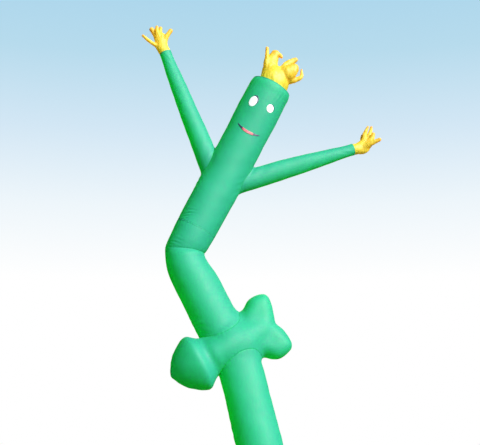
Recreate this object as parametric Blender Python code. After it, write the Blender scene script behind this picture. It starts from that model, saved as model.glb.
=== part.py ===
"""Inflatable air dancer: a tall fan-blown sleeve with a fold at its waist, a blown-up arrow
across it, two tapering arms, hands and a tuft of hair.

Metres, +Z up. The origin is the middle of the open mouth at the base. +X is the dancer's
right-hand side as a viewer in front of it sees it, and the viewer stands at -Y.
Every piece is coated cloth CLOTH thick, hollow and open to the air inside.
"""
import math
from collections import namedtuple

import bmesh
import bpy
from mathutils import Vector

# ---------------------------------------------------------------- driving dimensions
CLOTH = 0.002                 # thickness of the cloth
GAP = 0.0003                  # between two pieces that are sewn together
TUBE_SIDES = 20
ARM_SIDES = 12
PALM_SIDES = 8
TUFT_SIDES = 10
FINGER_SIDES = 6

UPPER_LEAN = 26.8             # degrees to the right, of the straight top length
HEAD_TOP = Vector((-0.088, 0.080, 5.676))
HEAD_RADIUS = 0.231
HEAD_EDGE_RADIUS = 0.220      # the seam round the head's top draws it in
HAIR_RADIUS = 0.162           # of the hole in the head's top panel
HAIR_SEAM = 0.008             # how far the panel reaches in under the hair
CROWN_RISE = 0.012            # of the panel's inner edge over its seam

ARROW_CENTRE = Vector((-0.545, -0.050, 2.836))
ARROW_DROP = 27.8             # degrees below level, of the way it points
ARROW_TOWARDS_VIEWER = 10.0   # degrees
NOTCH_DEPTH = 0.078           # of the hollow between the tail's two lobes
NOTCH_HALF_WIDTH = 0.200
NOTCH_START, NOTCH_FULL = -0.30, -0.60    # along the arrow from its centre

GREEN = (0.030, 0.520, 0.190, 1.0)
YELLOW = (1.000, 0.680, 0.035, 1.0)
WHITE = (0.900, 0.900, 0.900, 1.0)
NAVY = (0.015, 0.025, 0.120, 1.0)
PINK = (0.800, 0.150, 0.200, 1.0)

# ---------------------------------------------------------------- tables
# A cross-section of the body sleeve: where its middle is, how far its plane leans to the
# right (degrees), and half its width and depth.
Cut = namedtuple("Cut", "height across depth lean half_width half_depth")

LOWER_TUBE = [
    Cut(0.000, 0.000, 0.000, 0.0, 0.2285, 0.2285),
    Cut(0.060, 0.000, 0.000, 0.0, 0.2285, 0.2285),
    Cut(0.500, -0.016, -0.035, -4.5, 0.2320, 0.2300),
    Cut(1.000, -0.074, -0.072, -9.0, 0.2340, 0.2310),
    Cut(1.500, -0.158, -0.090, -12.0, 0.2350, 0.2310),
    Cut(2.000, -0.275, -0.088, -14.0, 0.2340, 0.2300),
    Cut(2.400, -0.376, -0.072, -15.0, 0.2300, 0.2290),
    Cut(2.825, -0.492, -0.035, -17.0, 0.2280, 0.2290),
]

MIDDLE_TUBE = [
    Cut(2.840, -0.552, -0.030, -26.7, 0.2310, 0.2290),
    Cut(3.320, -0.794, 0.035, -26.7, 0.2360, 0.2320),
    Cut(3.515, -0.891, 0.055, -27.0, 0.2360, 0.2350),
    Cut(3.628, -0.959, 0.065, -25.0, 0.2215, 0.2420),
    Cut(3.700, -0.998, 0.070, -19.5, 0.2125, 0.2480),
    Cut(3.772, -1.016, 0.075, -9.6, 0.2100, 0.2500),
    Cut(3.845, -1.023, 0.080, 8.1, 0.2090, 0.2260),    # the fold at the waist
    Cut(3.896, -1.002, 0.080, 13.0, 0.2140, 0.2430),
    Cut(3.956, -0.972, 0.080, 18.5, 0.2180, 0.2420),
    Cut(4.020, -0.937, 0.080, 23.5, 0.2210, 0.2370),
    Cut(4.085, -0.900, 0.080, UPPER_LEAN, 0.2240, 0.2320),    # the seam ring
]

UPPER_TUBE = [
    MIDDLE_TUBE[-1],
    Cut(4.520, -0.673, 0.083, UPPER_LEAN, 0.2265, 0.2300),
    Cut(4.950, -0.455, 0.086, UPPER_LEAN, 0.2300, 0.2305),
    Cut(5.560, -0.146, 0.081, UPPER_LEAN, HEAD_RADIUS, HEAD_RADIUS),
    Cut(5.645, -0.103, 0.080, UPPER_LEAN, 0.2290, 0.2290),
    Cut(5.676, -0.088, 0.080, UPPER_LEAN, HEAD_EDGE_RADIUS, HEAD_EDGE_RADIUS),
]

# The arrow along its own axis, from the tip to the tail.
ArrowCut = namedtuple("ArrowCut", "along half_width half_depth")

ARROW = [
    ArrowCut(0.674, 0.012, 0.012),
    ArrowCut(0.600, 0.138, 0.130),
    ArrowCut(0.500, 0.230, 0.220),
    ArrowCut(0.430, 0.272, 0.262),
    ArrowCut(0.372, 0.296, 0.282),
    ArrowCut(0.318, 0.266, 0.270),
    ArrowCut(0.240, 0.219, 0.248),
    ArrowCut(0.120, 0.214, 0.258),
    ArrowCut(-0.080, 0.214, 0.262),
    ArrowCut(-0.210, 0.218, 0.236),
    ArrowCut(-0.320, 0.284, 0.208),
    ArrowCut(-0.400, 0.340, 0.190),
    ArrowCut(-0.475, 0.360, 0.172),
    ArrowCut(-0.552, 0.350, 0.140),
    ArrowCut(-0.602, 0.308, 0.095),
    ArrowCut(-0.626, 0.245, 0.035),
]

# The sleeves of the arms: half the width at a distance from the cuff.
ArmCut = namedtuple("ArmCut", "from_cuff radius")

ARM = [
    ArmCut(0.000, 0.0600),
    ArmCut(0.050, 0.0570),
    ArmCut(0.260, 0.0760),
    ArmCut(0.520, 0.0920),
    ArmCut(0.840, 0.1060),
    ArmCut(1.200, 0.1150),
    ArmCut(1.640, 0.1250),
]

# Where an arm's axis meets the body's, and the middle of its cuff.
ArmPlace = namedtuple("ArmPlace", "shoulder cuff")

ARM_PLACES = {
    "arm_left": ArmPlace(Vector((-0.663, 0.085, 4.538)), Vector((-1.262, 0.080, 6.071))),
    "arm_right": ArmPlace(Vector((-0.669, 0.085, 4.526)), Vector((0.829, 0.300, 5.026))),
}

# A blown-up palm, tuft or finger: the points along its middle, from where it springs to its
# tip, and half its width and depth there. The places are measured from the cuff or head top.
Knot = namedtuple("Knot", "across height depth half_width half_depth")

LEFT_PALM = [
    Knot(0.000, 0.001, 0.000, 0.0590, 0.0590),
    Knot(-0.030, 0.055, 0.000, 0.0660, 0.0560),
    Knot(-0.045, 0.110, 0.000, 0.0690, 0.0480),
    Knot(-0.058, 0.175, 0.000, 0.0720, 0.0400),
    Knot(-0.066, 0.215, 0.000, 0.0520, 0.0300),
]
LEFT_FINGERS = {
    "thumb": [
        Knot(-0.065, 0.064, -0.010, 0.0270, 0.0240),
        Knot(-0.150, 0.108, -0.030, 0.0200, 0.0200),
        Knot(-0.248, 0.184, -0.045, 0.0140, 0.0140),
    ],
    "first": [
        Knot(-0.085, 0.190, 0.010, 0.0420, 0.0300),
        Knot(-0.127, 0.249, 0.015, 0.0340, 0.0280),
        Knot(-0.155, 0.281, 0.010, 0.0290, 0.0260),
    ],
    "second": [
        Knot(-0.078, 0.190, -0.010, 0.0360, 0.0300),
        Knot(-0.095, 0.255, -0.015, 0.0250, 0.0240),
        Knot(-0.098, 0.300, -0.010, 0.0190, 0.0180),
    ],
    "third": [
        Knot(-0.055, 0.190, 0.020, 0.0330, 0.0280),
        Knot(-0.062, 0.258, 0.030, 0.0240, 0.0220),
        Knot(-0.061, 0.306, 0.035, 0.0180, 0.0170),
    ],
    "fourth": [
        Knot(-0.015, 0.120, 0.000, 0.0380, 0.0300),
        Knot(0.020, 0.195, -0.015, 0.0270, 0.0250),
        Knot(0.058, 0.254, -0.020, 0.0230, 0.0210),
    ],
}

RIGHT_PALM = [
    Knot(0.001, 0.000, 0.000, 0.0590, 0.0590),
    Knot(0.052, 0.010, 0.006, 0.0640, 0.0560),
    Knot(0.105, 0.024, 0.012, 0.0780, 0.0500),
    Knot(0.142, 0.062, 0.018, 0.0740, 0.0420),
    Knot(0.160, 0.112, 0.020, 0.0540, 0.0340),
]
RIGHT_FINGERS = {
    "thumb": [
        Knot(0.130, 0.032, -0.020, 0.0380, 0.0300),
        Knot(0.213, 0.066, -0.050, 0.0270, 0.0250),
        Knot(0.282, 0.094, -0.065, 0.0220, 0.0220),
    ],
    "first": [
        Knot(0.118, 0.075, 0.020, 0.0360, 0.0300),
        Knot(0.130, 0.170, 0.010, 0.0270, 0.0240),
        Knot(0.168, 0.258, 0.000, 0.0130, 0.0130),
    ],
    "second": [
        Knot(0.155, 0.090, 0.030, 0.0340, 0.0280),
        Knot(0.192, 0.185, 0.040, 0.0240, 0.0220),
        Knot(0.213, 0.268, 0.045, 0.0130, 0.0130),
    ],
    "third": [
        Knot(0.168, 0.070, 0.000, 0.0380, 0.0300),
        Knot(0.208, 0.125, -0.010, 0.0270, 0.0250),
        Knot(0.226, 0.172, -0.015, 0.0190, 0.0190),
    ],
    "back": [
        Knot(0.120, 0.080, 0.045, 0.0300, 0.0280),
        Knot(0.106, 0.135, 0.055, 0.0210, 0.0210),
        Knot(0.112, 0.172, 0.060, 0.0160, 0.0160),
    ],
}

HAIR_TUFT = [
    Knot(0.0005, 0.0010, 0.000, HAIR_RADIUS - 0.001, HAIR_RADIUS - 0.001),
    Knot(0.030, 0.060, 0.000, 0.1640, 0.1640),
    Knot(0.048, 0.130, 0.000, 0.1640, 0.1500),
    Knot(0.058, 0.200, 0.000, 0.1480, 0.1200),
    Knot(0.060, 0.245, 0.000, 0.0900, 0.0700),
]
HAIR_FINGERS = {
    "thin": [
        Knot(-0.040, 0.220, -0.030, 0.0480, 0.0480),
        Knot(-0.046, 0.330, -0.060, 0.0220, 0.0220),
        Knot(-0.046, 0.420, -0.070, 0.0180, 0.0180),
    ],
    "fat": [
        Knot(0.015, 0.180, 0.000, 0.0850, 0.0700),
        Knot(0.032, 0.300, 0.010, 0.0580, 0.0520),
        Knot(0.044, 0.388, 0.010, 0.0520, 0.0460),
    ],
    "bent": [
        Knot(0.060, 0.395, 0.000, 0.0300, 0.0280),
        Knot(0.095, 0.370, -0.010, 0.0240, 0.0220),
        Knot(0.108, 0.345, -0.015, 0.0170, 0.0160),
    ],
    "raised": [
        Knot(0.120, 0.180, 0.060, 0.0640, 0.0600),
        Knot(0.195, 0.300, 0.080, 0.0380, 0.0340),
        Knot(0.277, 0.354, 0.090, 0.0240, 0.0230),
    ],
    "puffed": [
        Knot(0.110, 0.120, -0.020, 0.0900, 0.0900),
        Knot(0.190, 0.158, -0.040, 0.0950, 0.0850),
        Knot(0.244, 0.178, -0.040, 0.0650, 0.0600),
    ],
    "low": [
        Knot(0.150, 0.080, -0.010, 0.0550, 0.0550),
        Knot(0.265, 0.075, -0.020, 0.0300, 0.0300),
        Knot(0.325, 0.105, -0.025, 0.0220, 0.0200),
        Knot(0.333, 0.180, -0.030, 0.0080, 0.0080),
    ],
}

# The face, on the head: places are the distance below the head's top and the angle round
# the head, to the viewer's right of the front.
Oval = namedtuple("Oval", "below angle half_width half_height")

EYES = {
    "eye_left": Oval(0.298, -18.5, 0.048, 0.062),
    "eye_right": Oval(0.294, 32.6, 0.045, 0.050),
}
RIM_SHIFT_ROUND, RIM_SHIFT_UP = 0.008, 0.009    # of the navy oval under each white one
EYE_STRIPS, EYE_COLUMNS = 6, 5                  # of the grid an eye is cut on
PATCH_CLOTH = 0.001
PATCH_LIFT = 0.0006                             # clear of the faceted skin
MOUTH_ANGLE, MOUTH_HALF_SPAN = 7.0, 34.0        # degrees round the head
MOUTH_BELOW, SMILE_RISE, SMILE_TILT = 0.637, 0.033, 0.011
MOUTH_HALF_THICKNESS = 0.0145
MOUTH_SHARE, LIPS_SHARE = 0.985, 0.48           # of the span: the whole smile, the pink
MOUTH_STEPS = 5                                 # each side of the smile's middle
TIP_ROUNDING = (40, 75)                         # degrees round a finger's end
ROOT_OPENING = 0.010                            # how far a hollow runs out past its cuff

Section = namedtuple("Section", "centre wide deep half_width half_depth")
DEPTHWAYS = Vector((0, 1, 0))


# ---------------------------------------------------------------- scene helpers
def clear_scene():
    for thing in list(bpy.data.objects):
        bpy.data.objects.remove(thing, do_unlink=True)


def material(name, colour, roughness):
    found = bpy.data.materials.get(name)
    if found:
        return found
    made = bpy.data.materials.new(name)
    made.use_nodes = True
    shader = made.node_tree.nodes["Principled BSDF"]
    shader.inputs["Base Color"].default_value = colour
    shader.inputs["Roughness"].default_value = roughness
    shader.inputs["Metallic"].default_value = 0.0
    return made


def new_object(name, points, faces):
    """An object of flat triangles, from points and faces."""
    form = bmesh.new()
    corners = [form.verts.new(p) for p in points]
    for face in faces:
        form.faces.new([corners[i] for i in face])
    bmesh.ops.triangulate(form, faces=form.faces)
    mesh = bpy.data.meshes.new(name)
    form.to_mesh(mesh)
    form.free()
    thing = bpy.data.objects.new(name, mesh)
    bpy.context.scene.collection.objects.link(thing)
    return thing


def finish(thing, finish_material):
    """Gives a piece its material and smooth shading."""
    thing.data.materials.clear()
    thing.data.materials.append(finish_material)
    thing.data.shade_smooth()
    thing.data.set_sharp_from_angle(angle=math.radians(40))
    return thing


def combine(target, other, operation):
    """Applies a Boolean with another object, which is used up."""
    step = target.modifiers.new("combine", "BOOLEAN")
    step.operation = operation
    step.solver = "EXACT"
    step.object = other
    graph = bpy.context.evaluated_depsgraph_get()
    result = bpy.data.meshes.new_from_object(target.evaluated_get(graph))
    target.modifiers.clear()
    target.data = result
    bpy.data.objects.remove(other, do_unlink=True)
    return target


# ---------------------------------------------------------------- lofts
def ring_points(section, sides, inset=0.0):
    """The points round one section, moved in square to its outline."""
    points = []
    for k in range(sides):
        turn = math.tau * k / sides
        across, along = math.cos(turn), math.sin(turn)
        outward = section.wide * (across / section.half_width)
        outward += section.deep * (along / section.half_depth)
        point = section.centre + section.wide * (section.half_width * across)
        point += section.deep * (section.half_depth * along)
        points.append(point - outward.normalized() * inset)
    return points


def band_faces(first, second, sides):
    """Quads between two rings whose points start at these indices."""
    return [
        (first + k, first + (k + 1) % sides, second + (k + 1) % sides, second + k)
        for k in range(sides)
    ]


def sleeve(name, sections, sides):
    """A tube of cloth, open at both ends, with flat rims."""
    rings = [ring_points(s, sides) for s in sections]
    rings += [ring_points(s, sides, CLOTH) for s in reversed(sections)]
    points = [p for ring in rings for p in ring]
    faces = []
    for i in range(len(rings)):
        faces += band_faces(i * sides, (i + 1) % len(rings) * sides, sides)
    return new_object(name, points, faces)


def solid(name, sections, sides, inset=0.0):
    """A filled form through the sections, closed flat at both ends."""
    rings = [ring_points(s, sides, inset) for s in sections]
    points = [p for ring in rings for p in ring]
    faces = []
    for i in range(len(rings) - 1):
        faces += band_faces(i * sides, (i + 1) * sides, sides)
    last = (len(rings) - 1) * sides
    faces.append(tuple(reversed(range(sides))))
    faces.append(tuple(range(last, last + sides)))
    return new_object(name, points, faces)


def pushed_copy(thing, distance, name):
    """A copy of a closed form with its whole skin moved out by a distance."""
    form = bmesh.new()
    form.from_mesh(thing.data)
    form.normal_update()
    moves = [v.normal * (distance * v.calc_shell_factor()) for v in form.verts]
    for vertex, move in zip(form.verts, moves):
        vertex.co += move
    mesh = bpy.data.meshes.new(name)
    form.to_mesh(mesh)
    form.free()
    made = bpy.data.objects.new(name, mesh)
    bpy.context.scene.collection.objects.link(made)
    return made


# ---------------------------------------------------------------- the body sleeve
def cut_section(cut):
    lean = math.radians(cut.lean)
    wide = Vector((math.cos(lean), 0, -math.sin(lean)))
    centre = Vector((cut.across, cut.depth, cut.height))
    return Section(centre, wide, DEPTHWAYS, cut.half_width, cut.half_depth)


def shifted(section, distance):
    """The section moved along the way its sleeve runs."""
    forward = section.wide.cross(section.deep)
    return section._replace(centre=section.centre + forward * distance)


def body_sections():
    lower = [cut_section(c) for c in LOWER_TUBE]
    middle = [cut_section(c) for c in MIDDLE_TUBE]
    upper = [cut_section(c) for c in UPPER_TUBE]
    middle[-1] = shifted(middle[-1], -GAP / 2)
    upper[0] = shifted(upper[0], GAP / 2)
    return lower, middle, upper


# ---------------------------------------------------------------- the arrow
def arrow_axes():
    """The way the arrow points, its upper side and its front, as unit vectors."""
    drop, nearer = math.radians(ARROW_DROP), math.radians(ARROW_TOWARDS_VIEWER)
    flat = Vector((-math.cos(drop), 0, -math.sin(drop)))
    points = flat * math.cos(nearer) - DEPTHWAYS * math.sin(nearer)
    upper = Vector((-math.sin(drop), 0, math.cos(drop)))
    return points, upper, points.cross(upper)


def notch_shift(along, across):
    """How far the tail's end is drawn in towards the arrow's middle."""
    share = min(max((along - NOTCH_START) / (NOTCH_FULL - NOTCH_START), 0.0), 1.0)
    hollow = max(1.0 - (across / NOTCH_HALF_WIDTH) ** 2, 0.0)
    return NOTCH_DEPTH * share * share * hollow * hollow


def arrow_form():
    """The arrow's whole outer form, closed."""
    points, upper, front = arrow_axes()
    sections = [
        Section(ARROW_CENTRE + points * c.along, upper, front, c.half_width, c.half_depth)
        for c in reversed(ARROW)
    ]
    form = solid("arrow_form", sections, TUBE_SIDES)
    for vertex in form.data.vertices:
        place = vertex.co - ARROW_CENTRE
        vertex.co += points * notch_shift(place.dot(points), place.dot(upper))
    return form


def make_arrow(form, lower, middle):
    """The arrow's cloth, with its air holes where the body sleeve joins it."""
    arrow = pushed_copy(form, 0.0, "arrow")
    combine(arrow, pushed_copy(form, -CLOTH, "inside"), "DIFFERENCE")
    combine(arrow, solid("lower_bore", lower[-4:], TUBE_SIDES, CLOTH), "DIFFERENCE")
    combine(arrow, solid("upper_bore", middle[:4], TUBE_SIDES, CLOTH), "DIFFERENCE")
    return arrow


# ---------------------------------------------------------------- arms
def arm_sections(place):
    """The arm's sections from inside the shoulder out to the cuff."""
    forward = (place.cuff - place.shoulder).normalized()
    deep = (DEPTHWAYS - forward * forward.y).normalized()
    wide = deep.cross(forward)
    return [
        Section(place.cuff - forward * cut.from_cuff, wide, deep, cut.radius, cut.radius)
        for cut in reversed(ARM)
    ]


def make_arm(name, sections, body_form):
    """An arm's sleeve, ending on the body's skin."""
    arm = sleeve(name, sections, ARM_SIDES)
    return combine(arm, pushed_copy(body_form, GAP, "body_clearance"), "DIFFERENCE")


# ---------------------------------------------------------------- palms, tuft, fingers
def knot_sections(knots, origin):
    """Sections along a bent path, each square to the path."""
    centres = [origin + Vector((k.across, k.depth, k.height)) for k in knots]
    sections = []
    for i, knot in enumerate(knots):
        before, after = centres[max(i - 1, 0)], centres[min(i + 1, len(knots) - 1)]
        forward = (after - before).normalized()
        deep = (DEPTHWAYS - forward * forward.y).normalized()
        wide = deep.cross(forward)
        sections.append(Section(centres[i], wide, deep, knot.half_width, knot.half_depth))
    return sections


def rounded_end(sections):
    """The same sections with two smaller ones that round the tip."""
    tip = sections[-1]
    reach = min(tip.half_width, tip.half_depth)
    rounded = list(sections)
    for degrees in TIP_ROUNDING:
        angle = math.radians(degrees)
        size = math.cos(angle)
        section = shifted(tip, reach * math.sin(angle))
        rounded.append(
            section._replace(half_width=tip.half_width * size, half_depth=tip.half_depth * size)
        )
    return rounded


def pushed(thing, distance):
    """The form with its skin moved, in place of the form itself."""
    moved = pushed_copy(thing, distance, thing.name)
    bpy.data.objects.remove(thing, do_unlink=True)
    return moved


def knotted(name, root_sections, root_sides, fingers, origin, inset):
    """A palm or tuft joined to its fingers, the skin of each moved in."""
    form = pushed(solid(name, root_sections, root_sides), -inset)
    for knots in fingers.values():
        finger = solid("finger", rounded_end(knot_sections(knots, origin)), FINGER_SIDES)
        combine(form, pushed(finger, -inset), "UNION")
    return form


def blown(name, root, fingers, origin, cuff, root_sides):
    """A hollow blown-up form: its root, open at the cuff, and its fingers."""
    along = rounded_end(knot_sections(root, origin)[1:])
    outer = knotted(name, [shifted(cuff, GAP)] + along, root_sides, fingers, origin, 0.0)
    start = shifted(cuff, GAP - ROOT_OPENING)
    inner = knotted("hollow", [start] + along, root_sides, fingers, origin, CLOTH)
    combine(outer, inner, "DIFFERENCE")
    outer.name = name
    return outer


# ---------------------------------------------------------------- the head
def head_axes():
    lean = math.radians(UPPER_LEAN)
    up = Vector((math.sin(lean), 0, math.cos(lean)))
    right = Vector((math.cos(lean), 0, -math.sin(lean)))
    return up, right


def make_head_top():
    """The round panel on the head's top, with the hole that the hair is sewn round."""
    up, right = head_axes()
    seam, hole = HEAD_EDGE_RADIUS, HAIR_RADIUS - HAIR_SEAM
    crown = [
        (seam, 0.0),
        ((2 * seam + hole) / 3, CROWN_RISE * 2 / 3),
        ((seam + 2 * hole) / 3, CROWN_RISE),
        (hole, CROWN_RISE),
    ]
    outer = [
        Section(HEAD_TOP + up * (GAP + CLOTH + rise), right, DEPTHWAYS, radius, radius)
        for radius, rise in crown
    ]
    inner = [shifted(s, -CLOTH) for s in reversed(outer)]
    rings = [ring_points(s, TUBE_SIDES) for s in outer + inner]
    faces = []
    for i in range(len(rings)):
        faces += band_faces(i * TUBE_SIDES, (i + 1) % len(rings) * TUBE_SIDES, TUBE_SIDES)
    return new_object("head_top", [p for ring in rings for p in ring], faces)


def on_head(below, arc, lift):
    """A point over the head's skin, an arc's length round from the front."""
    up, right = head_axes()
    angle = arc / HEAD_RADIUS
    outward = right * math.sin(angle) - DEPTHWAYS * math.cos(angle)
    return HEAD_TOP - up * below + outward * (HEAD_RADIUS + lift)


def patch(name, rows, lift):
    """A thin patch that lies on the head: rows of (below, arc) points, all of one length."""
    count = len(rows[0])
    points = []
    for height in (lift, lift + PATCH_CLOTH):
        points += [on_head(below, arc, height) for row in rows for below, arc in row]
    half = len(rows) * count
    faces = []
    for i in range(len(rows) - 1):
        for k in range(count - 1):
            a, b = i * count + k, (i + 1) * count + k
            faces.append((a, b, b + 1, a + 1))
            faces.append((half + a, half + a + 1, half + b + 1, half + b))
    edge = list(range(count))
    edge += [i * count + count - 1 for i in range(1, len(rows))]
    edge += [(len(rows) - 1) * count + k for k in range(count - 2, -1, -1)]
    edge += [i * count for i in range(len(rows) - 2, 0, -1)]
    for a, b in zip(edge, edge[1:] + edge[:1]):
        faces.append((a, b, half + b, half + a))
    made = new_object(name, points, faces)
    return faces_out(made)


def faces_out(thing):
    form = bmesh.new()
    form.from_mesh(thing.data)
    bmesh.ops.recalc_face_normals(form, faces=form.faces)
    form.to_mesh(thing.data)
    form.free()
    return thing


def oval_rows(oval, round_shift=0.0, up_shift=0.0):
    """A grid over an oval: each row is a strip across it."""
    middle = math.radians(oval.angle) * HEAD_RADIUS + round_shift
    rows = []
    for i in range(EYE_STRIPS):
        tall = math.cos(math.pi * (i + 0.5) / EYE_STRIPS)
        reach = oval.half_width * math.sqrt(1 - tall * tall)
        below = oval.below - up_shift - oval.half_height * tall
        sides = [2 * k / (EYE_COLUMNS - 1) - 1 for k in range(EYE_COLUMNS)]
        rows.append([(below, middle + reach * side) for side in sides])
    return rows


def mouth_rows(share):
    """A grid along the smile, as far out from its middle as the share says."""
    rows = []
    for i in range(-MOUTH_STEPS, MOUTH_STEPS + 1):
        place = share * i / MOUTH_STEPS
        arc = math.radians(MOUTH_ANGLE + MOUTH_HALF_SPAN * place) * HEAD_RADIUS
        below = MOUTH_BELOW - SMILE_RISE * place ** 2 + SMILE_TILT * place
        half = MOUTH_HALF_THICKNESS * math.sqrt(1 - place ** 2)
        rows.append([(below - half, arc), (below + half, arc)])
    return rows


# ---------------------------------------------------------------- the whole dancer
def build():
    clear_scene()
    green = material("green_cloth", GREEN, 0.45)
    yellow = material("yellow_cloth", YELLOW, 0.50)
    white = material("white_patch", WHITE, 0.55)
    navy = material("navy_patch", NAVY, 0.55)
    pink = material("pink_patch", PINK, 0.55)

    lower, middle, upper = body_sections()
    form = arrow_form()
    tube_lower = sleeve("tube_lower", lower, TUBE_SIDES)
    combine(tube_lower, pushed_copy(form, GAP, "clearance"), "DIFFERENCE")
    tube_middle = sleeve("tube_middle", middle, TUBE_SIDES)
    combine(tube_middle, pushed_copy(form, GAP, "clearance"), "DIFFERENCE")
    arrow = make_arrow(form, lower, middle)
    bpy.data.objects.remove(form, do_unlink=True)

    body_form = solid("body_form", upper, TUBE_SIDES)
    tube_upper = sleeve("tube_upper", upper, TUBE_SIDES)
    for name, place in ARM_PLACES.items():
        sections = arm_sections(place)
        finish(make_arm(name, sections, body_form), green)
        combine(tube_upper, solid("armhole", sections, ARM_SIDES, CLOTH), "DIFFERENCE")
    bpy.data.objects.remove(body_form, do_unlink=True)

    left_cuff = arm_sections(ARM_PLACES["arm_left"])[-1]
    right_cuff = arm_sections(ARM_PLACES["arm_right"])[-1]
    hands = [
        blown("hand_left", LEFT_PALM, LEFT_FINGERS, left_cuff.centre, left_cuff, PALM_SIDES),
        blown("hand_right", RIGHT_PALM, RIGHT_FINGERS, right_cuff.centre, right_cuff, PALM_SIDES),
    ]
    up, right = head_axes()
    hair_base = Section(HEAD_TOP + up * (CLOTH + GAP + CROWN_RISE), right, DEPTHWAYS,
                        HAIR_RADIUS, HAIR_RADIUS)
    hair = blown("hair", HAIR_TUFT, HAIR_FINGERS, HEAD_TOP, hair_base, TUFT_SIDES)

    for piece in (tube_lower, tube_middle, tube_upper, arrow, make_head_top()):
        finish(piece, green)
    for piece in hands + [hair]:
        finish(piece, yellow)

    over = PATCH_LIFT + PATCH_CLOTH + GAP
    for name, oval in EYES.items():
        rim = oval_rows(oval, RIM_SHIFT_ROUND, RIM_SHIFT_UP)
        finish(patch(name + "_rim", rim, PATCH_LIFT), navy)
        finish(patch(name, oval_rows(oval), over), white)
    finish(patch("mouth", mouth_rows(MOUTH_SHARE), PATCH_LIFT), navy)
    finish(patch("lips", mouth_rows(LIPS_SHARE), over), pink)


build()
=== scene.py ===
"""Inflatable air dancer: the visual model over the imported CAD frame.

Metres, +Z up, the viewer at -Y. Sleeves are swept through the same sections as the CAD
solids; the arrow, hands and hair are smooth blown-up forms, each wrapped in one skin.
"""

import math
from collections import namedtuple

import bmesh
import bpy
import numpy as np
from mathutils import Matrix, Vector


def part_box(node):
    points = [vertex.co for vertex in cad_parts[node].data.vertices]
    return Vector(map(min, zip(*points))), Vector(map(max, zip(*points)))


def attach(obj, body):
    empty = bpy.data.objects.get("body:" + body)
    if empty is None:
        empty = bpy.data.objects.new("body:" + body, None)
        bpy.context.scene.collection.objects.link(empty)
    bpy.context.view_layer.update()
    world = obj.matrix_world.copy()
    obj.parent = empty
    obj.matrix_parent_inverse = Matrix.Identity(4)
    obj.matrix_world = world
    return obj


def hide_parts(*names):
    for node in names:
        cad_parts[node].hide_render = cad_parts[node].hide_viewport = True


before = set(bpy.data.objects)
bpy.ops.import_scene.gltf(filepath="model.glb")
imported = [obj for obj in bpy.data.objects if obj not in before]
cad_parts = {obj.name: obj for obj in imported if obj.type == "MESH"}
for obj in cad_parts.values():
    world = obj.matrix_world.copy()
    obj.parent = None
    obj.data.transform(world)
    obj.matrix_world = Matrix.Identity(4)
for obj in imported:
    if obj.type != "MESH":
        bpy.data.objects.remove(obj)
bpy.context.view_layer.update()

# ---------------- the dancer's own sizes
UPPER_LEAN = 26.8
HEAD_TOP = np.array([-0.088, 0.080, 5.676])
HEAD_RADIUS = 0.231
HEAD_EDGE_RADIUS = 0.220
HAIR_RADIUS = 0.162
CROWN_RISE = 0.012
SEAM_TURN_IN = 0.014          # cloth turned in at a sewn edge
HEM = 0.060                   # cloth turned in at the open mouth
LAYER = 0.0032                # how far in a turned-in edge lies

# A cross-section of the body sleeve: its middle, how far its plane leans to the right
# (degrees), and half its width and depth.
Cut = namedtuple("Cut", "height across depth lean half_width half_depth")

LOWER_TUBE = [
    Cut(0.000, 0.000, 0.000, 0.0, 0.2285, 0.2285),
    Cut(0.060, 0.000, 0.000, 0.0, 0.2285, 0.2285),
    Cut(0.500, -0.016, -0.035, -4.5, 0.2320, 0.2300),
    Cut(1.000, -0.074, -0.072, -9.0, 0.2340, 0.2310),
    Cut(1.500, -0.158, -0.090, -12.0, 0.2350, 0.2310),
    Cut(2.000, -0.275, -0.088, -14.0, 0.2340, 0.2300),
    Cut(2.400, -0.376, -0.072, -15.0, 0.2300, 0.2290),
    Cut(2.825, -0.492, -0.035, -17.0, 0.2280, 0.2290),
]
BELOW_FOLD = [
    Cut(2.840, -0.552, -0.030, -26.7, 0.2310, 0.2290),
    Cut(3.080, -0.673, 0.000, -26.7, 0.2340, 0.2300),
    Cut(3.320, -0.799, 0.035, -26.7, 0.2310, 0.2320),
    Cut(3.515, -0.898, 0.055, -27.0, 0.2285, 0.2350),
    Cut(3.628, -0.963, 0.065, -25.0, 0.2175, 0.2420),
    Cut(3.700, -0.998, 0.070, -19.5, 0.2125, 0.2450),
    Cut(3.772, -1.016, 0.075, -9.6, 0.2100, 0.2440),
    Cut(3.845, -1.0255, 0.080, 8.1, 0.2155, 0.2260),
]
ABOVE_FOLD = [
    Cut(3.845, -1.0255, 0.080, 8.1, 0.2155, 0.2260),
    Cut(3.896, -1.001, 0.080, 13.0, 0.2180, 0.2310),
    Cut(3.956, -0.9705, 0.080, 18.5, 0.2165, 0.2335),
    Cut(4.020, -0.938, 0.080, 23.5, 0.2170, 0.2335),
    Cut(4.085, -0.906, 0.080, UPPER_LEAN, 0.2180, 0.2320),
]
UPPER_TUBE = [
    Cut(4.085, -0.906, 0.080, UPPER_LEAN, 0.2180, 0.2320),
    Cut(4.520, -0.678, 0.083, UPPER_LEAN, 0.2295, 0.2300),
    Cut(4.950, -0.455, 0.086, UPPER_LEAN, 0.2300, 0.2305),
    Cut(5.560, -0.146, 0.081, UPPER_LEAN, HEAD_RADIUS, HEAD_RADIUS),
    Cut(5.645, -0.103, 0.080, UPPER_LEAN, 0.2290, 0.2290),
    Cut(5.676, -0.088, 0.080, UPPER_LEAN, HEAD_EDGE_RADIUS, HEAD_EDGE_RADIUS),
]

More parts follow.
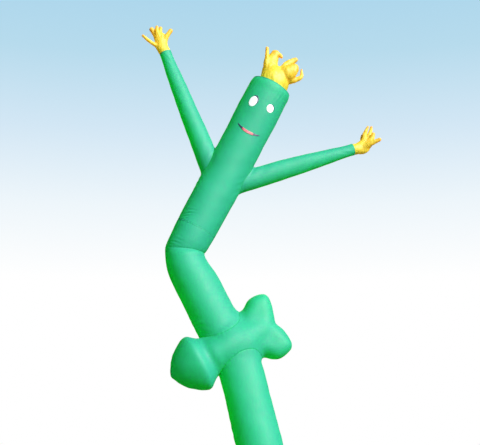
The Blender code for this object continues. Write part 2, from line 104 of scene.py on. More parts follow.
# An arm's radius at distances from its cuff.
ARM_PLACES_ALONG = (0.000, 0.050, 0.260, 0.520, 0.840, 1.200, 1.640)
ARM_RADII = (0.0665, 0.0650, 0.0780, 0.0920, 0.1060, 0.1150, 0.1250)
ARM_LENGTH = ARM_PLACES_ALONG[-1]
ArmPlace = namedtuple("ArmPlace", "shoulder cuff")
ARM_PLACES = {
    "arm_left": ArmPlace((-0.663, 0.085, 4.538), (-1.262, 0.080, 6.071)),
    "arm_right": ArmPlace((-0.669, 0.085, 4.526), (0.829, 0.300, 5.026)),
}

# The arrow: its middle, how far it points down (degrees) and towards the viewer.
ARROW_CENTRE = np.array([-0.545, -0.050, 2.836])
ARROW_DROP = 27.8
ARROW_TOWARDS_VIEWER = 10.0

# The blown-up head of the arrow: how far along the way it points, and half its width there.
ARROW_HEAD = [
    (0.676, 0.000), (0.672, 0.014), (0.638, 0.078), (0.585, 0.158), (0.510, 0.228),
    (0.440, 0.275), (0.400, 0.293), (0.372, 0.298), (0.346, 0.288), (0.318, 0.264),
    (0.285, 0.238), (0.240, 0.216), (0.180, 0.202), (0.000, 0.190),
]

# A strand of a blown-up form: points along its middle and half its width and depth there.
Knot = namedtuple("Knot", "across height depth half_width half_depth")


def knots(*rows):
    return [Knot(*row) for row in rows]


LEFT_PALM = knots((0.014, -0.045, 0.000, 0.059, 0.059), (0.000, 0.001, 0.000, 0.061, 0.061),
                  (-0.030, 0.055, 0.000, 0.066, 0.056), (-0.045, 0.110, 0.000, 0.069, 0.048),
                  (-0.058, 0.175, 0.000, 0.066, 0.040))
LEFT_FINGERS = [
    knots((-0.050, 0.060, -0.010, 0.028, 0.024), (-0.150, 0.108, -0.030, 0.020, 0.020),
          (-0.248, 0.184, -0.045, 0.014, 0.014)),
    knots((-0.085, 0.180, 0.010, 0.042, 0.030), (-0.127, 0.245, 0.015, 0.033, 0.028),
          (-0.155, 0.278, 0.010, 0.029, 0.026)),
    knots((-0.078, 0.190, -0.010, 0.034, 0.030), (-0.095, 0.255, -0.015, 0.024, 0.024),
          (-0.098, 0.300, -0.010, 0.019, 0.018)),
    knots((-0.055, 0.190, 0.020, 0.033, 0.028), (-0.062, 0.258, 0.030, 0.023, 0.022),
          (-0.061, 0.306, 0.035, 0.018, 0.017)),
    knots((-0.020, 0.120, 0.000, 0.038, 0.030), (0.018, 0.195, -0.015, 0.027, 0.025),
          (0.058, 0.254, -0.020, 0.023, 0.021)),
]

RIGHT_PALM = knots((-0.045, -0.012, -0.006, 0.059, 0.059), (0.001, 0.000, 0.000, 0.061, 0.061),
                   (0.052, 0.010, 0.006, 0.064, 0.057), (0.105, 0.028, 0.012, 0.076, 0.050),
                   (0.142, 0.068, 0.018, 0.070, 0.042))
RIGHT_FINGERS = [
    knots((0.130, 0.032, -0.020, 0.038, 0.030), (0.213, 0.066, -0.050, 0.026, 0.025),
          (0.282, 0.094, -0.065, 0.022, 0.022)),
    knots((0.118, 0.075, 0.020, 0.036, 0.030), (0.130, 0.170, 0.010, 0.027, 0.024),
          (0.168, 0.258, 0.000, 0.013, 0.013)),
    knots((0.155, 0.090, 0.030, 0.034, 0.028), (0.192, 0.185, 0.040, 0.024, 0.022),
          (0.213, 0.268, 0.045, 0.013, 0.013)),
    knots((0.168, 0.070, 0.000, 0.038, 0.030), (0.208, 0.125, -0.010, 0.027, 0.025),
          (0.226, 0.172, -0.015, 0.019, 0.019)),
    knots((0.120, 0.080, 0.045, 0.030, 0.028), (0.106, 0.135, 0.055, 0.021, 0.021),
          (0.112, 0.172, 0.060, 0.016, 0.016)),
]

HAIR_TUFT = knots((-0.015, -0.030, 0.000, HAIR_RADIUS - 0.002, HAIR_RADIUS - 0.002),
                  (0.006, 0.012, 0.000, HAIR_RADIUS - 0.001, HAIR_RADIUS - 0.001),
                  (0.032, 0.060, 0.000, 0.163, 0.160), (0.040, 0.100, 0.000, 0.142, 0.140))
HAIR_FINGERS = [
    knots((-0.045, 0.250, -0.040, 0.042, 0.042), (-0.047, 0.350, -0.060, 0.023, 0.022),
          (-0.046, 0.424, -0.070, 0.018, 0.018)),
    knots((-0.008, 0.130, 0.000, 0.105, 0.100), (-0.006, 0.215, -0.010, 0.086, 0.078),
          (0.000, 0.290, 0.000, 0.070, 0.062), (0.028, 0.350, 0.010, 0.058, 0.052),
          (0.046, 0.384, 0.010, 0.048, 0.044)),
    knots((0.060, 0.385, 0.000, 0.030, 0.028), (0.095, 0.368, -0.010, 0.024, 0.022),
          (0.114, 0.343, -0.015, 0.015, 0.014)),
    knots((0.120, 0.180, 0.050, 0.064, 0.060), (0.190, 0.288, 0.060, 0.040, 0.036),
          (0.275, 0.342, 0.070, 0.027, 0.025)),
    knots((0.120, 0.110, -0.020, 0.086, 0.086), (0.190, 0.150, -0.050, 0.086, 0.082),
          (0.242, 0.190, -0.050, 0.062, 0.058)),
    knots((0.150, 0.080, -0.010, 0.055, 0.055), (0.265, 0.075, -0.020, 0.031, 0.030),
          (0.328, 0.105, -0.025, 0.023, 0.021), (0.333, 0.190, -0.030, 0.009, 0.009)),
]

# The face: distance below the head's top, and degrees round from the front.
Oval = namedtuple("Oval", "below angle half_width half_height rim_round rim_up")
EYES = {
    "eye_left": Oval(0.304, -19.7, 0.0455, 0.061, 0.010, 0.0135),
    "eye_right": Oval(0.290, 32.1, 0.043, 0.0450, 0.006, 0.008),
}
MOUTH_ANGLE, MOUTH_HALF_SPAN = 5.0, 36.0
MOUTH_BELOW, SMILE_RISE, SMILE_TILT = 0.637, 0.044, 0.011
MOUTH_HALF_THICKNESS = 0.0150
MOUTH_SHARE, LIPS_SHARE = 0.985, 0.48

DEPTHWAYS = np.array([0.0, 1.0, 0.0])


# ---------------- smooth curves and waves
def unit(vector):
    return vector / np.linalg.norm(vector)


def through(places, values, wanted):
    """A smooth curve through values given at places, read at the wanted places."""
    places, values = np.asarray(places, float), np.asarray(values, float)
    slopes = np.gradient(values, places, axis=0)
    k = np.clip(np.searchsorted(places, wanted) - 1, 0, len(places) - 2)
    gap = (places[k + 1] - places[k])[:, None]
    t = (np.asarray(wanted)[:, None] - places[k][:, None]) / gap
    start = values[k] * (2 * t ** 3 - 3 * t ** 2 + 1) + slopes[k] * gap * (t ** 3 - 2 * t ** 2 + t)
    end = values[k + 1] * (3 * t ** 2 - 2 * t ** 3) + slopes[k + 1] * gap * (t ** 3 - t ** 2)
    return start + end


def run_along(points):
    """How far along a line of points each one lies."""
    steps = np.linalg.norm(np.diff(points, axis=0), axis=1)
    return np.concatenate([[0.0], np.cumsum(steps)])


def smoothed(rows, ways, parts):
    """Rows read off a smooth curve through some; their first columns are places in space."""
    places = run_along(rows[:, :ways])
    return through(places, rows, np.linspace(0, places[-1], parts * (len(rows) - 1) + 1))


def smooth_step(values):
    t = np.clip(values, 0.0, 1.0)
    return t * t * (3 - 2 * t)


def wavy(points, wave, seed, squeeze=(1.0, 1.0, 1.0)):
    """Smooth unevenness between about -1 and 1, in waves of about the given length."""
    random = np.random.RandomState(seed)
    points = points * np.array(squeeze)
    total = np.zeros(points.shape[:-1])
    for _ in range(9):
        way = random.normal(size=3)
        way *= math.tau / wave * random.uniform(0.6, 1.5) / np.linalg.norm(way)
        total += np.sin(points @ way + random.uniform(0, math.tau))
    return total / 4.0


# ---------------- meshes
def mesh_object(name, points, faces):
    mesh = bpy.data.meshes.new(name)
    mesh.from_pydata([tuple(p) for p in points], [], [tuple(f) for f in faces])
    mesh.update()
    mesh.shade_smooth()
    made = bpy.data.objects.new(name, mesh)
    bpy.context.scene.collection.objects.link(made)
    return made


def set_weave(thing, across, along):
    """The cloth's own coordinates in metres, one pair for each vertex, as a UV map."""
    layer = thing.data.uv_layers.new(name="weave")
    corners = np.empty(len(thing.data.loops), dtype=np.int32)
    thing.data.loops.foreach_get("vertex_index", corners)
    flat = np.column_stack([across[corners], along[corners]]).astype(np.float32)
    layer.data.foreach_set("uv", flat.ravel())


def set_shade(thing, name, values):
    """A number for each vertex that the cloth's material reads."""
    layer = thing.data.attributes.new(name, "FLOAT", "POINT")
    layer.data.foreach_set("value", np.asarray(values, dtype=np.float32))


def mesh_arrays(mesh):
    points = np.empty(len(mesh.vertices) * 3)
    normals = np.empty(len(mesh.vertices) * 3)
    mesh.vertices.foreach_get("co", points)
    mesh.vertices.foreach_get("normal", normals)
    return points.reshape(-1, 3), normals.reshape(-1, 3)


def neighbour_mean(mesh, values):
    """The mean over each vertex's neighbours."""
    edges = np.empty(len(mesh.edges) * 2, dtype=np.int64)
    mesh.edges.foreach_get("vertices", edges)
    a, b = edges[0::2], edges[1::2]
    total, count = np.zeros_like(values), np.zeros(len(values))
    np.add.at(total, a, values[b])
    np.add.at(total, b, values[a])
    np.add.at(count, a, 1)
    np.add.at(count, b, 1)
    count = np.maximum(count, 1)
    return total / (count[:, None] if values.ndim > 1 else count)


def hollows(mesh, rounds, full):
    """How hollow the skin is at each vertex, from 0 to 1, smoothed; it sets where shade is painted.
    """
    points, normals = mesh_arrays(mesh)
    level = points
    for _ in range(rounds):
        level = (level + neighbour_mean(mesh, level)) / 2
    depth = np.einsum("ij,ij->i", level - points, normals)
    return np.clip(depth / full, 0.0, 1.0)


# ---------------- sleeves
def cut_table(cuts):
    """(distance along, rows of across, depth, height, lean, half width, half depth)."""
    rows = np.array(
        [[c.across, c.depth, c.height, c.lean, c.half_width, c.half_depth] for c in cuts]
    )
    return run_along(rows[:, :3]), rows


def turned_in(length):
    """Rows of an edge turned in: (distance from the edge, how far in)."""
    return [(length, LAYER), (length / 2, LAYER), (0.004, LAYER * 0.9), (0.001, LAYER * 0.45)]


def row_places(length, spacing, start_turn, end_turn):
    """Where the rows of a sleeve lie: distances along it and how far in each one is."""
    count = max(int(round(length / spacing)), 2)
    main = [(length * k / count, 0.0) for k in range(count + 1)]
    start = turned_in(start_turn) if start_turn else []
    end = [(length - d, inset) for d, inset in reversed(turned_in(end_turn))] if end_turn else []
    places = np.array(start + main + end)
    return places[:, 0], places[:, 1]


def middle_of(section):
    return np.array([section.across, section.depth, section.height])


def lean_ways(lean):
    """The ways across and up a plane that leans to the right by this, in radians."""
    sine, cosine, none = np.sin(lean), np.cos(lean), np.zeros_like(lean)
    return np.stack([cosine, none, -sine], axis=-1), np.stack([sine, none, cosine], axis=-1)


def on_sleeve(rows, turns):
    """Points and outward ways; rows and turns have the same shape but for the last axis."""
    wide, _ = lean_ways(np.radians(rows[..., 3]))
    turn = np.radians(turns)
    side, front = np.sin(turn)[..., None], -np.cos(turn)[..., None]
    half_width, half_depth = rows[..., 4:5], rows[..., 5:6]
    points = rows[..., :3] + wide * half_width * side + DEPTHWAYS * half_depth * front
    out = wide * side / half_width + DEPTHWAYS * front / half_depth
    return points, out / np.linalg.norm(out, axis=-1, keepdims=True)


# A patch of wrinkles on a sleeve: its middle (distance along and degrees round), its reach
# each way, the distance from crest to crest, how high they are, and their slant.
Ripple = namedtuple("Ripple", "along turn reach_along reach_round wave lift slant")


def ripple_lift(ripples, along, turns, radius):
    total = np.zeros(np.broadcast(along, turns).shape)
    for r in ripples:
        up = along - r.along
        side = np.radians((turns - r.turn + 180.0) % 360.0 - 180.0) * radius
        slant = math.radians(r.slant)
        across_wave = up * math.cos(slant) - side * math.sin(slant)
        fade = np.exp(-(up / r.reach_along) ** 2 - (side / r.reach_round) ** 2)
        total += r.lift * np.cos(math.tau * across_wave / r.wave) * fade
    return total


def grid_faces(rows, columns):
    """Quads of a grid closed round its columns, facing out."""
    faces = []
    for i in range(rows - 1):
        for k in range(columns):
            a, b = i * columns + k, i * columns + (k + 1) % columns
            faces.append((a, b, b + columns, a + columns))
    return faces


def sleeve_object(name, points, along, turns, radius):
    """A sleeve from a grid of points, rows first."""
    rows, columns = points.shape[:2]
    made = mesh_object(name, points.reshape(-1, 3), grid_faces(rows, columns))
    across = np.broadcast_to(np.radians(turns) * radius, (rows, columns)).ravel()
    set_weave(made, across, np.broadcast_to(along, (rows, columns)).ravel())
    return made


# ---------------- blown-up forms
def soft_union(first, second, reach):
    near = np.maximum(reach - np.abs(first - second), 0.0) / reach
    return np.minimum(first, second) - near * near * reach / 4.0


def strand(points, knots, parts=5):
    """Distance from points to the skin of a smooth tapering strand through the knots."""
    rows = np.array([[k.across, k.depth, k.height, k.half_width, k.half_depth] for k in knots])
    read = smoothed(rows, 3, parts)
    margin = 0.12             # farther off than this, the distance isn't worked out
    widest = read[:, 3:].max() + margin
    low, high = read[:, :3].min(axis=0) - widest, read[:, :3].max(axis=0) + widest
    close = np.all((points > low) & (points < high), axis=-1)
    nearest = np.full(points.shape[:-1], margin)
    near_points, best = points[close], np.full(close.sum(), margin)
    for a, b in zip(read, read[1:]):
        scale = np.array([1.0, (a[3] + b[3]) / (a[4] + b[4]), 1.0])
        way = (b[:3] - a[:3]) * scale
        from_start = (near_points - a[:3]) * scale
        place = np.clip(from_start @ way / (way @ way), 0.0, 1.0)
        gap = np.linalg.norm(from_start - place[:, None] * way, axis=-1)
        best = np.minimum(best, gap - (a[3] + (b[3] - a[3]) * place))
    nearest[close] = best
    return nearest


CELL_CORNERS = np.array([[i, j, k] for i in (0, 1) for j in (0, 1) for k in (0, 1)])


def skin(distance, low, high, step):
    """Points and quads of one skin where distance(points) is zero (surface nets)."""
    axes = [np.arange(a, b + step, step) for a, b in zip(low, high)]
    grid = np.stack(np.meshgrid(*axes, indexing="ij"), axis=-1)
    field = distance(grid)
    size = np.array(field.shape) - 1
    corners = [field[i:i + size[0], j:j + size[1], k:k + size[2]] for i, j, k in CELL_CORNERS]
    inside = sum((c < 0).astype(int) for c in corners)
    used = (inside > 0) & (inside < 8)
    number = np.full(used.shape, -1)
    number[used] = np.arange(used.sum())
    values = np.array([c[used] for c in corners])
    total, count = np.zeros((used.sum(), 3)), np.zeros(used.sum())
    for a in range(8):
        for b in range(a + 1, 8):
            if np.abs(CELL_CORNERS[a] - CELL_CORNERS[b]).sum() != 1:
                continue
            crosses = (values[a] < 0) != (values[b] < 0)
            share = values[a] / np.where(crosses, values[a] - values[b], 1.0)
            place = CELL_CORNERS[a] + share[:, None] * (CELL_CORNERS[b] - CELL_CORNERS[a])
            total += np.where(crosses[:, None], place, 0.0)
            count += crosses
    points = grid[0, 0, 0] + (np.argwhere(used) + total / count[:, None]) * step
    faces = []
    for axis in range(3):
        u, v = (axis + 1) % 3, (axis + 2) % 3
        here = tuple(slice(0, -1) if k == axis else slice(1, -1) for k in range(3))
        there = tuple(slice(1, None) if k == axis else slice(1, -1) for k in range(3))
        low_in, high_in = field[here] < 0, field[there] < 0
        cells = np.argwhere(low_in != high_in)
        outward = low_in[tuple(cells.T)]
        cells[:, u] += 1
        cells[:, v] += 1
        around = []
        for du, dv in ((1, 1), (0, 1), (0, 0), (1, 0)):
            cell = cells.copy()
            cell[:, u] -= du
            cell[:, v] -= dv
            around.append(number[tuple(cell.T)])
        quads = np.array(around).T
        quads[~outward] = quads[~outward][:, ::-1]
        faces.append(quads)
    return points, np.concatenate(faces)


def slope_of(distance, points):
    """Which way, and how fast, a distance grows."""
    reach = 0.0005
    steps = np.eye(3) * reach
    return np.stack(
        [(distance(points + s) - distance(points - s)) / (2 * reach) for s in steps], axis=-1
    )


def wrapped(name, distance, low, high, margin, step):
    """A smooth closed skin round a form in a box, its points evened out on the form."""
    points, faces = skin(distance, np.array(low) - margin, np.array(high) + margin, step)
    made = mesh_object(name, points, faces)
    for _ in range(4):
        points = (points + neighbour_mean(made.data, points)) / 2
        slope = slope_of(distance, points)
        steepness = np.maximum((slope * slope).sum(axis=-1), 0.1)
        points = points - slope * (distance(points) / steepness)[:, None]
    put_points(made, points)
    return made


def put_points(thing, points):
    thing.data.vertices.foreach_set("co", np.asarray(points, dtype=np.float32).ravel())
    thing.data.update()


def relax(thing, share):
    """Moves each vertex a share of the way to the middle of its neighbours."""
    points, _ = mesh_arrays(thing.data)
    put_points(thing, points + (neighbour_mean(thing.data, points) - points) * share)


def edit_mesh(thing, change):
    form = bmesh.new()
    form.from_mesh(thing.data)
    change(form)
    form.to_mesh(thing.data)
    form.free()
    thing.data.update()
    thing.data.shade_smooth()


def cut_open(thing, point, way):
    """Cuts off what lies beyond a plane, on the side its way points to."""
    def cut(form):
        bmesh.ops.bisect_plane(
            form, geom=form.verts[:] + form.edges[:] + form.faces[:], dist=1e-5,
            plane_co=tuple(point), plane_no=tuple(way), clear_outer=True,
        )

    edit_mesh(thing, cut)


MELT_DEPTH = 0.03             # inside the other form, the melting fades over this


def melted(points, own_out, distance, other_out, reach, fade=1.0):
    """Points of one skin moved to where it melts into another, at this distance from it."""
    near = np.clip(1.0 - np.maximum(distance, 0.0) / reach, 0.0, 1.0)
    near = near * np.clip(1.0 + np.minimum(distance, 0.0) / MELT_DEPTH, 0.0, 1.0)
    share = (near / 2)[..., None]
    way = own_out * (1 - share) + other_out * share
    rise = (near * near * reach / 4 * fade)[..., None]
    return points + way * rise / np.maximum((way * way).sum(axis=-1, keepdims=True), 0.3)


def open_hole(thing, distance, depth):
    """Takes away the skin that lies deeper than this inside another form."""
    deep = distance(mesh_arrays(thing.data)[0]) < -depth

    def cut(form):
        inner = [f for f in form.faces if any(deep[v.index] for v in f.verts)]
        bmesh.ops.delete(form, geom=inner, context="FACES")

    edit_mesh(thing, cut)


# ---------------- points near a sleeve
Near = namedtuple("Near", "distance out turn along")


def about_sleeve(cuts, points, guess):
    """How points lie to a sleeve: off its skin, which way is out, degrees round, along."""
    places, rows = cut_table(cuts)
    shape, points = points.shape[:-1], points.reshape(-1, 3)
    along = np.full(len(points), guess)
    for _ in range(8):
        read = through(places, rows, along)
        wide, up = lean_ways(np.radians(read[:, 3]))
        off = points - read[:, :3]
        along = np.clip(along + (off * up).sum(axis=-1), 0.0, places[-1])
    x, y = (off * wide).sum(axis=-1), off[:, 1]
    half_width, half_depth = read[:, 4], read[:, 5]
    size = np.hypot(x / half_width, y / half_depth)
    out = wide * (x / half_width ** 2)[:, None] + DEPTHWAYS * (y / half_depth ** 2)[:, None]
    out = out / np.maximum(np.linalg.norm(out, axis=-1, keepdims=True), 1e-9)
    distance = (size - 1) * (half_width + half_depth) / 2
    turn = np.degrees(np.arctan2(x, -y))
    return Near(distance.reshape(shape), out.reshape(shape + (3,)), turn.reshape(shape),
                along.reshape(shape))


def arm_axes(place):
    """An arm's cuff, the way from it up to the shoulder, and the two ways across the arm."""
    cuff = np.array(place.cuff)
    way = unit(np.array(place.shoulder) - cuff)
    deep = unit(DEPTHWAYS - way * (DEPTHWAYS @ way))
    return cuff, way, deep, np.cross(way, deep)


def arm_radius(along):
    read = through(ARM_PLACES_ALONG, np.array(ARM_RADII)[:, None], along.ravel())
    return read.reshape(along.shape)


def about_arm(place, points):
    """The same for an arm, which is straight and round. Nothing is near past its end."""
    cuff, way, deep, wide = arm_axes(place)
    off = points - cuff
    along = off @ way
    off = off - along[..., None] * way
    size = np.linalg.norm(off, axis=-1)
    out = off / np.maximum(size, 1e-9)[..., None]
    turn = np.degrees(np.arctan2(off @ wide, -(off @ deep)))
    distance = size - arm_radius(np.clip(along, 0.0, ARM_LENGTH))
    return Near(np.where(along < ARM_LENGTH, distance, 1.0), out, turn, along)


# ---------------- the arrow
def arrow_axes():
    drop, nearer = math.radians(ARROW_DROP), math.radians(ARROW_TOWARDS_VIEWER)
    flat = np.array([-math.cos(drop), 0.0, -math.sin(drop)])
    points = flat * math.cos(nearer) - DEPTHWAYS * math.sin(nearer)
    upper = np.array([-math.sin(drop), 0.0, math.cos(drop)])
    return points, upper, np.cross(points, upper)


ARROW_POINTS, ARROW_UPPER, ARROW_FRONT = arrow_axes()
ARROW_SHAFT = knots((-0.345, 0.000, 0.000, 0.135, 0.190), (-0.160, 0.000, 0.000, 0.190, 0.240),
                    (0.000, 0.000, 0.000, 0.205, 0.262), (0.160, 0.000, 0.000, 0.200, 0.250))
# The tail's outline, along the arrow and across it, from its upper side round to its lower.
TAIL_EDGE = [
    (0.000, 0.150), (-0.150, 0.186), (-0.204, 0.204), (-0.270, 0.247), (-0.337, 0.290),
    (-0.385, 0.329), (-0.443, 0.346), (-0.521, 0.344), (-0.582, 0.324), (-0.604, 0.304),
    (-0.614, 0.250), (-0.597, 0.148), (-0.541, -0.006), (-0.588, -0.092), (-0.608, -0.186),
    (-0.612, -0.273), (-0.588, -0.320), (-0.500, -0.353), (-0.418, -0.360), (-0.367, -0.340),
    (-0.315, -0.302), (-0.276, -0.260), (-0.219, -0.228), (-0.150, -0.190), (0.000, -0.150),
]
TAIL_ROUND, TAIL_HALF_DEPTH = 0.118, 0.150
ARROW_HEAD_FLAT = 0.95        # its half depth over its half width
ARROW_MELT = 0.040            # how softly the lobes run into the shaft
NECK_MELT = 0.030             # and the head


def arrow_local(points):
    place = points - ARROW_CENTRE
    return np.stack([place @ ARROW_POINTS, place @ ARROW_FRONT, place @ ARROW_UPPER], axis=-1)


def outline_distance(x, y, outline):
    """Distance in a plane to a closed outline, less than nothing inside it."""
    nearest, inside = np.full(x.shape, 9.0), np.zeros(x.shape, bool)
    for (ax, ay), (bx, by) in zip(outline, outline[1:] + outline[:1]):
        wx, wy = bx - ax, by - ay
        place = np.clip(((x - ax) * wx + (y - ay) * wy) / (wx * wx + wy * wy), 0.0, 1.0)
        nearest = np.minimum(nearest, np.hypot(x - ax - place * wx, y - ay - place * wy))
        if ay != by:
            spans = (ay > y) != (by > y)
            inside ^= spans & (x < ax + (y - ay) / (by - ay) * wx)
    return np.where(inside, -nearest, nearest)


HEAD_EDGE = [tuple(p) for p in smoothed(np.array(ARROW_HEAD), 2, 3)]
HEAD_EDGE = HEAD_EDGE + [(x, -y) for x, y in reversed(HEAD_EDGE) if y > 0]


def head_distance(local):
    around = np.hypot(local[..., 2], local[..., 1] / ARROW_HEAD_FLAT)
    return outline_distance(local[..., 0], around, HEAD_EDGE)


def tail_distance(local):
    """The tail: a flat outline blown up, its edge rounded like a pillow's."""
    edge = outline_distance(local[..., 0], local[..., 2], TAIL_EDGE)
    inward = np.maximum(edge + TAIL_ROUND, 0.0) / TAIL_ROUND
    depth = local[..., 1] / TAIL_HALF_DEPTH
    return (np.hypot(inward, depth) - 1.0) * TAIL_ROUND


def arrow_distance(points):
    local = arrow_local(points)
    shaft = strand(local, ARROW_SHAFT, parts=18)
    body = soft_union(shaft, tail_distance(local), ARROW_MELT)
    return soft_union(body, head_distance(local), NECK_MELT)


# ---------------- stitches
STITCH_PITCH, STITCH_LENGTH, STITCH_RADIUS = 0.0050, 0.0034, 0.0006


def read_line(places, values, wanted):
    """Rows of values given at places along a line, read at the wanted places."""
    return np.stack([np.interp(wanted, places, column) for column in values.T], axis=-1)


def add_stitches(thing, lines):
    """Joins a run of small stitches along each line of points to a piece of cloth."""
    points, faces = [], []
    for line, out in lines:
        places = run_along(line)
        at = np.arange(STITCH_PITCH, places[-1], STITCH_PITCH)
        middle, up = read_line(places, line, at), read_line(places, out, at)
        way = read_line(places, line, at + 0.001) - middle
        way = way / np.maximum(np.linalg.norm(way, axis=1, keepdims=True), 1e-9)
        side = np.cross(way, up)
        middle = middle + up * STITCH_RADIUS * 0.4
        for centre, w, u, s in zip(middle, way, up, side):
            first = len(points)
            points += [centre - w * STITCH_LENGTH / 2, centre + w * STITCH_LENGTH / 2]
            for d in (u, s, -u, -s):
                points.append(centre + d * STITCH_RADIUS - w * STITCH_LENGTH / 5)
                points.append(centre + d * STITCH_RADIUS + w * STITCH_LENGTH / 5)
            for k in range(4):
                a, b = first + 2 + 2 * k, first + 2 + 2 * ((k + 1) % 4)
                faces += [(a, b, b + 1, a + 1), (first, b, a), (first + 1, a + 1, b + 1)]
    thread = mesh_object(thing.name + ".thread", points, faces)
    set_weave(thread, np.zeros(len(points)), np.zeros(len(points)))
    with bpy.context.temp_override(
        active_object=thing, selected_editable_objects=[thing, thread],
        selected_objects=[thing, thread], object=thing,
    ):
        bpy.ops.object.join()


def line_round(grid, along, wanted):
    """A closed line round a sleeve's grid of values, at a distance along for each column."""
    wanted = np.broadcast_to(wanted, along.shape[1:])
    line = [read_line(along[:, k], grid[:, k], place) for k, place in enumerate(wanted)]
    return np.array(line + line[:1])


def sew(thing, along, main, seams, columns=()):
    """Stitches round a sleeve at each of the seams, and down the columns of its back seam."""
    points, normals = mesh_arrays(thing.data)
    points, normals = points.reshape(along.shape + (3,)), normals.reshape(along.shape + (3,))
    points, normals, along = points[main], normals[main], along[main]
    lines = [(line_round(points, along, s), line_round(normals, along, s)) for s in seams]
    lines += [(points[:, k], normals[:, k]) for k in columns]
    add_stitches(thing, lines)


# ---------------- unevenness
# The large soft unevenness: the length and height of its waves, and a seed for each way.
WARPS = ((0.55, 0.0040, (11, 12, 13)), (0.21, 0.0016, (14, 15, 16)))
WARP_FULL = 0.25              # it grows from nothing at the floor up to this height

# The gathers at a seam: a seed, how high they are, how far they run out, their length from
# crest to crest, and how deep the stitches lie. Pieces that meet share a seed, and so theirs.
Gathers = namedtuple("Gathers", "seed lift reach wave groove",
                     defaults=(0.0016, 0.028, 0.024, 0.0030))
HEM_GATHERS, HEAD_GATHERS, SHOULDER_GATHERS, WRIST_GATHERS = map(Gathers, (21, 42, 43, 52))
RING_GATHERS = Gathers(31, lift=0.0024)
TOP_GATHERS = Gathers(42, lift=0.0018, reach=0.030)
HAIR_GATHERS = Gathers(44, lift=0.0026, reach=0.020)
ARROW_RIM_GATHERS = Gathers(61, lift=0.0026, reach=0.045, wave=0.050)
GATHERS_STRETCH = 0.12        # they change this much more slowly away from the seam
GROOVE_WIDTH = 0.0045


def warp(points):
    """Moves points by the unevenness of the whole dancer, the same for pieces that meet."""
    move = 0.0
    for wave, height, seeds in WARPS:
        move = move + height * np.stack([wavy(points, wave, s) for s in seeds], axis=-1)
    return points + move * smooth_step(points[..., 2:] / WARP_FULL)


def pucker(distance, place, gathers):
    """Small gathers that a line of stitches draws, running out from it and dying away."""
    distance, place = np.broadcast_arrays(distance, place)
    line = np.stack([place, GATHERS_STRETCH * distance, np.zeros_like(place)], axis=-1)
    patches = 0.6 + 0.4 * wavy(line, 5 * gathers.wave, gathers.seed + 50)
    waves = wavy(line, gathers.wave, gathers.seed) * patches
    sunk = gathers.groove * np.exp(-(distance / GROOVE_WIDTH) ** 2)
    return gathers.lift * waves * np.exp(-np.abs(distance) / gathers.reach) - sunk


# ---------------- the body's three sleeves
COLUMNS, EVEN_TO = 144, 177.2     # columns, evenly spaced up to so many degrees from the front
ROW_STEP, FOLD_STEP, MELT_ROWS = 0.010, 0.0075, 46
SEAM_ANGLES = np.array([0.45, 1.1, 1.5, 2.1])      # degrees either side of the back seam
TURNS = np.concatenate([-180.0 + SEAM_ANGLES, np.linspace(-EVEN_TO, EVEN_TO, COLUMNS),
                        180.0 - SEAM_ANGLES[::-1], [180.0]])
BACK_STITCHES = (1, -3)       # columns of the back seam's two rows of stitches
TURNED_ROWS = 4               # of the grid, in an edge turned in
SEAM_IN = 0.007               # from a sewn edge to its stitches
HEM_STITCHES = (HEM - 0.004, HEM - 0.010)
FLUTTER, FLUTTER_WAVE, FLUTTER_REACH, FLUTTER_SEED = 0.004, 0.10, 0.20, 22    # at the hem
# On one side of this, a sleeve's rows are level. On the other they bend, to meet the piece
# it is sewn to.
LOWER_LEVEL, MIDDLE_LEVEL, ARM_LEVEL = 1.85, 0.66, 1.10
HELD = 0.020                  # a sleeve's creases fade this near to what it is sewn to

# The seam at a sleeve's back: a flat ridge and the groove beside it.
RIDGE_HEIGHT, RIDGE_HALF = 0.0016, 0.0055
BESIDE_DEPTH, BESIDE_AT, BESIDE_HALF = 0.0022, 0.009, 0.004


def back_seam(turns, radius):
    """The flat double seam that closes a sleeve at its back, beside a shallow groove."""
    away = np.radians(180.0 - np.abs(turns)) * radius
    beside = BESIDE_DEPTH * np.exp(-((away - BESIDE_AT) / BESIDE_HALF) ** 2)
    return RIDGE_HEIGHT * np.exp(-(away / RIDGE_HALF) ** 4) - beside


def sleeve_points(cuts, along, turns=TURNS):
    places, rows = cut_table(cuts)
    read = through(places, rows, along.ravel()).reshape(along.shape + (6,))
    return on_sleeve(read, np.broadcast_to(turns, along.shape))


def tube_radius(cuts):
    return sum(c.half_width + c.half_depth for c in cuts) / (2 * len(cuts))


def tube_lift(ripples, along, radius):
    return ripple_lift(ripples, along, TURNS, radius) + back_seam(TURNS, radius)


def meeting(points_at, columns, distance, first, last, steps=140):
    """For each column, how far along a sleeve enters another form, looking from first to last.

    For a column that is inside from the start, the line is carried on backwards.
    """
    along = np.linspace(first, last, steps)
    gap = distance(points_at(np.repeat(along[:, None], columns, axis=1)))
    k = np.clip(np.argmax(gap < 0, axis=0), 1, len(along) - 1)
    column = np.arange(columns)
    before, after = gap[k - 1, column], gap[k, column]
    return along[k - 1] + before / (before - after) * (along[k] - along[k - 1])


def stretched(plain, ends, fixed):
    """Rows of (distance along), bent past a fixed place so that the last one meets the ends."""
    share = np.clip((plain[:, None] - fixed) / (ends.mean() - fixed), 0.0, None)
    return np.where(share > 0, fixed + share * (ends - fixed), plain[:, None])


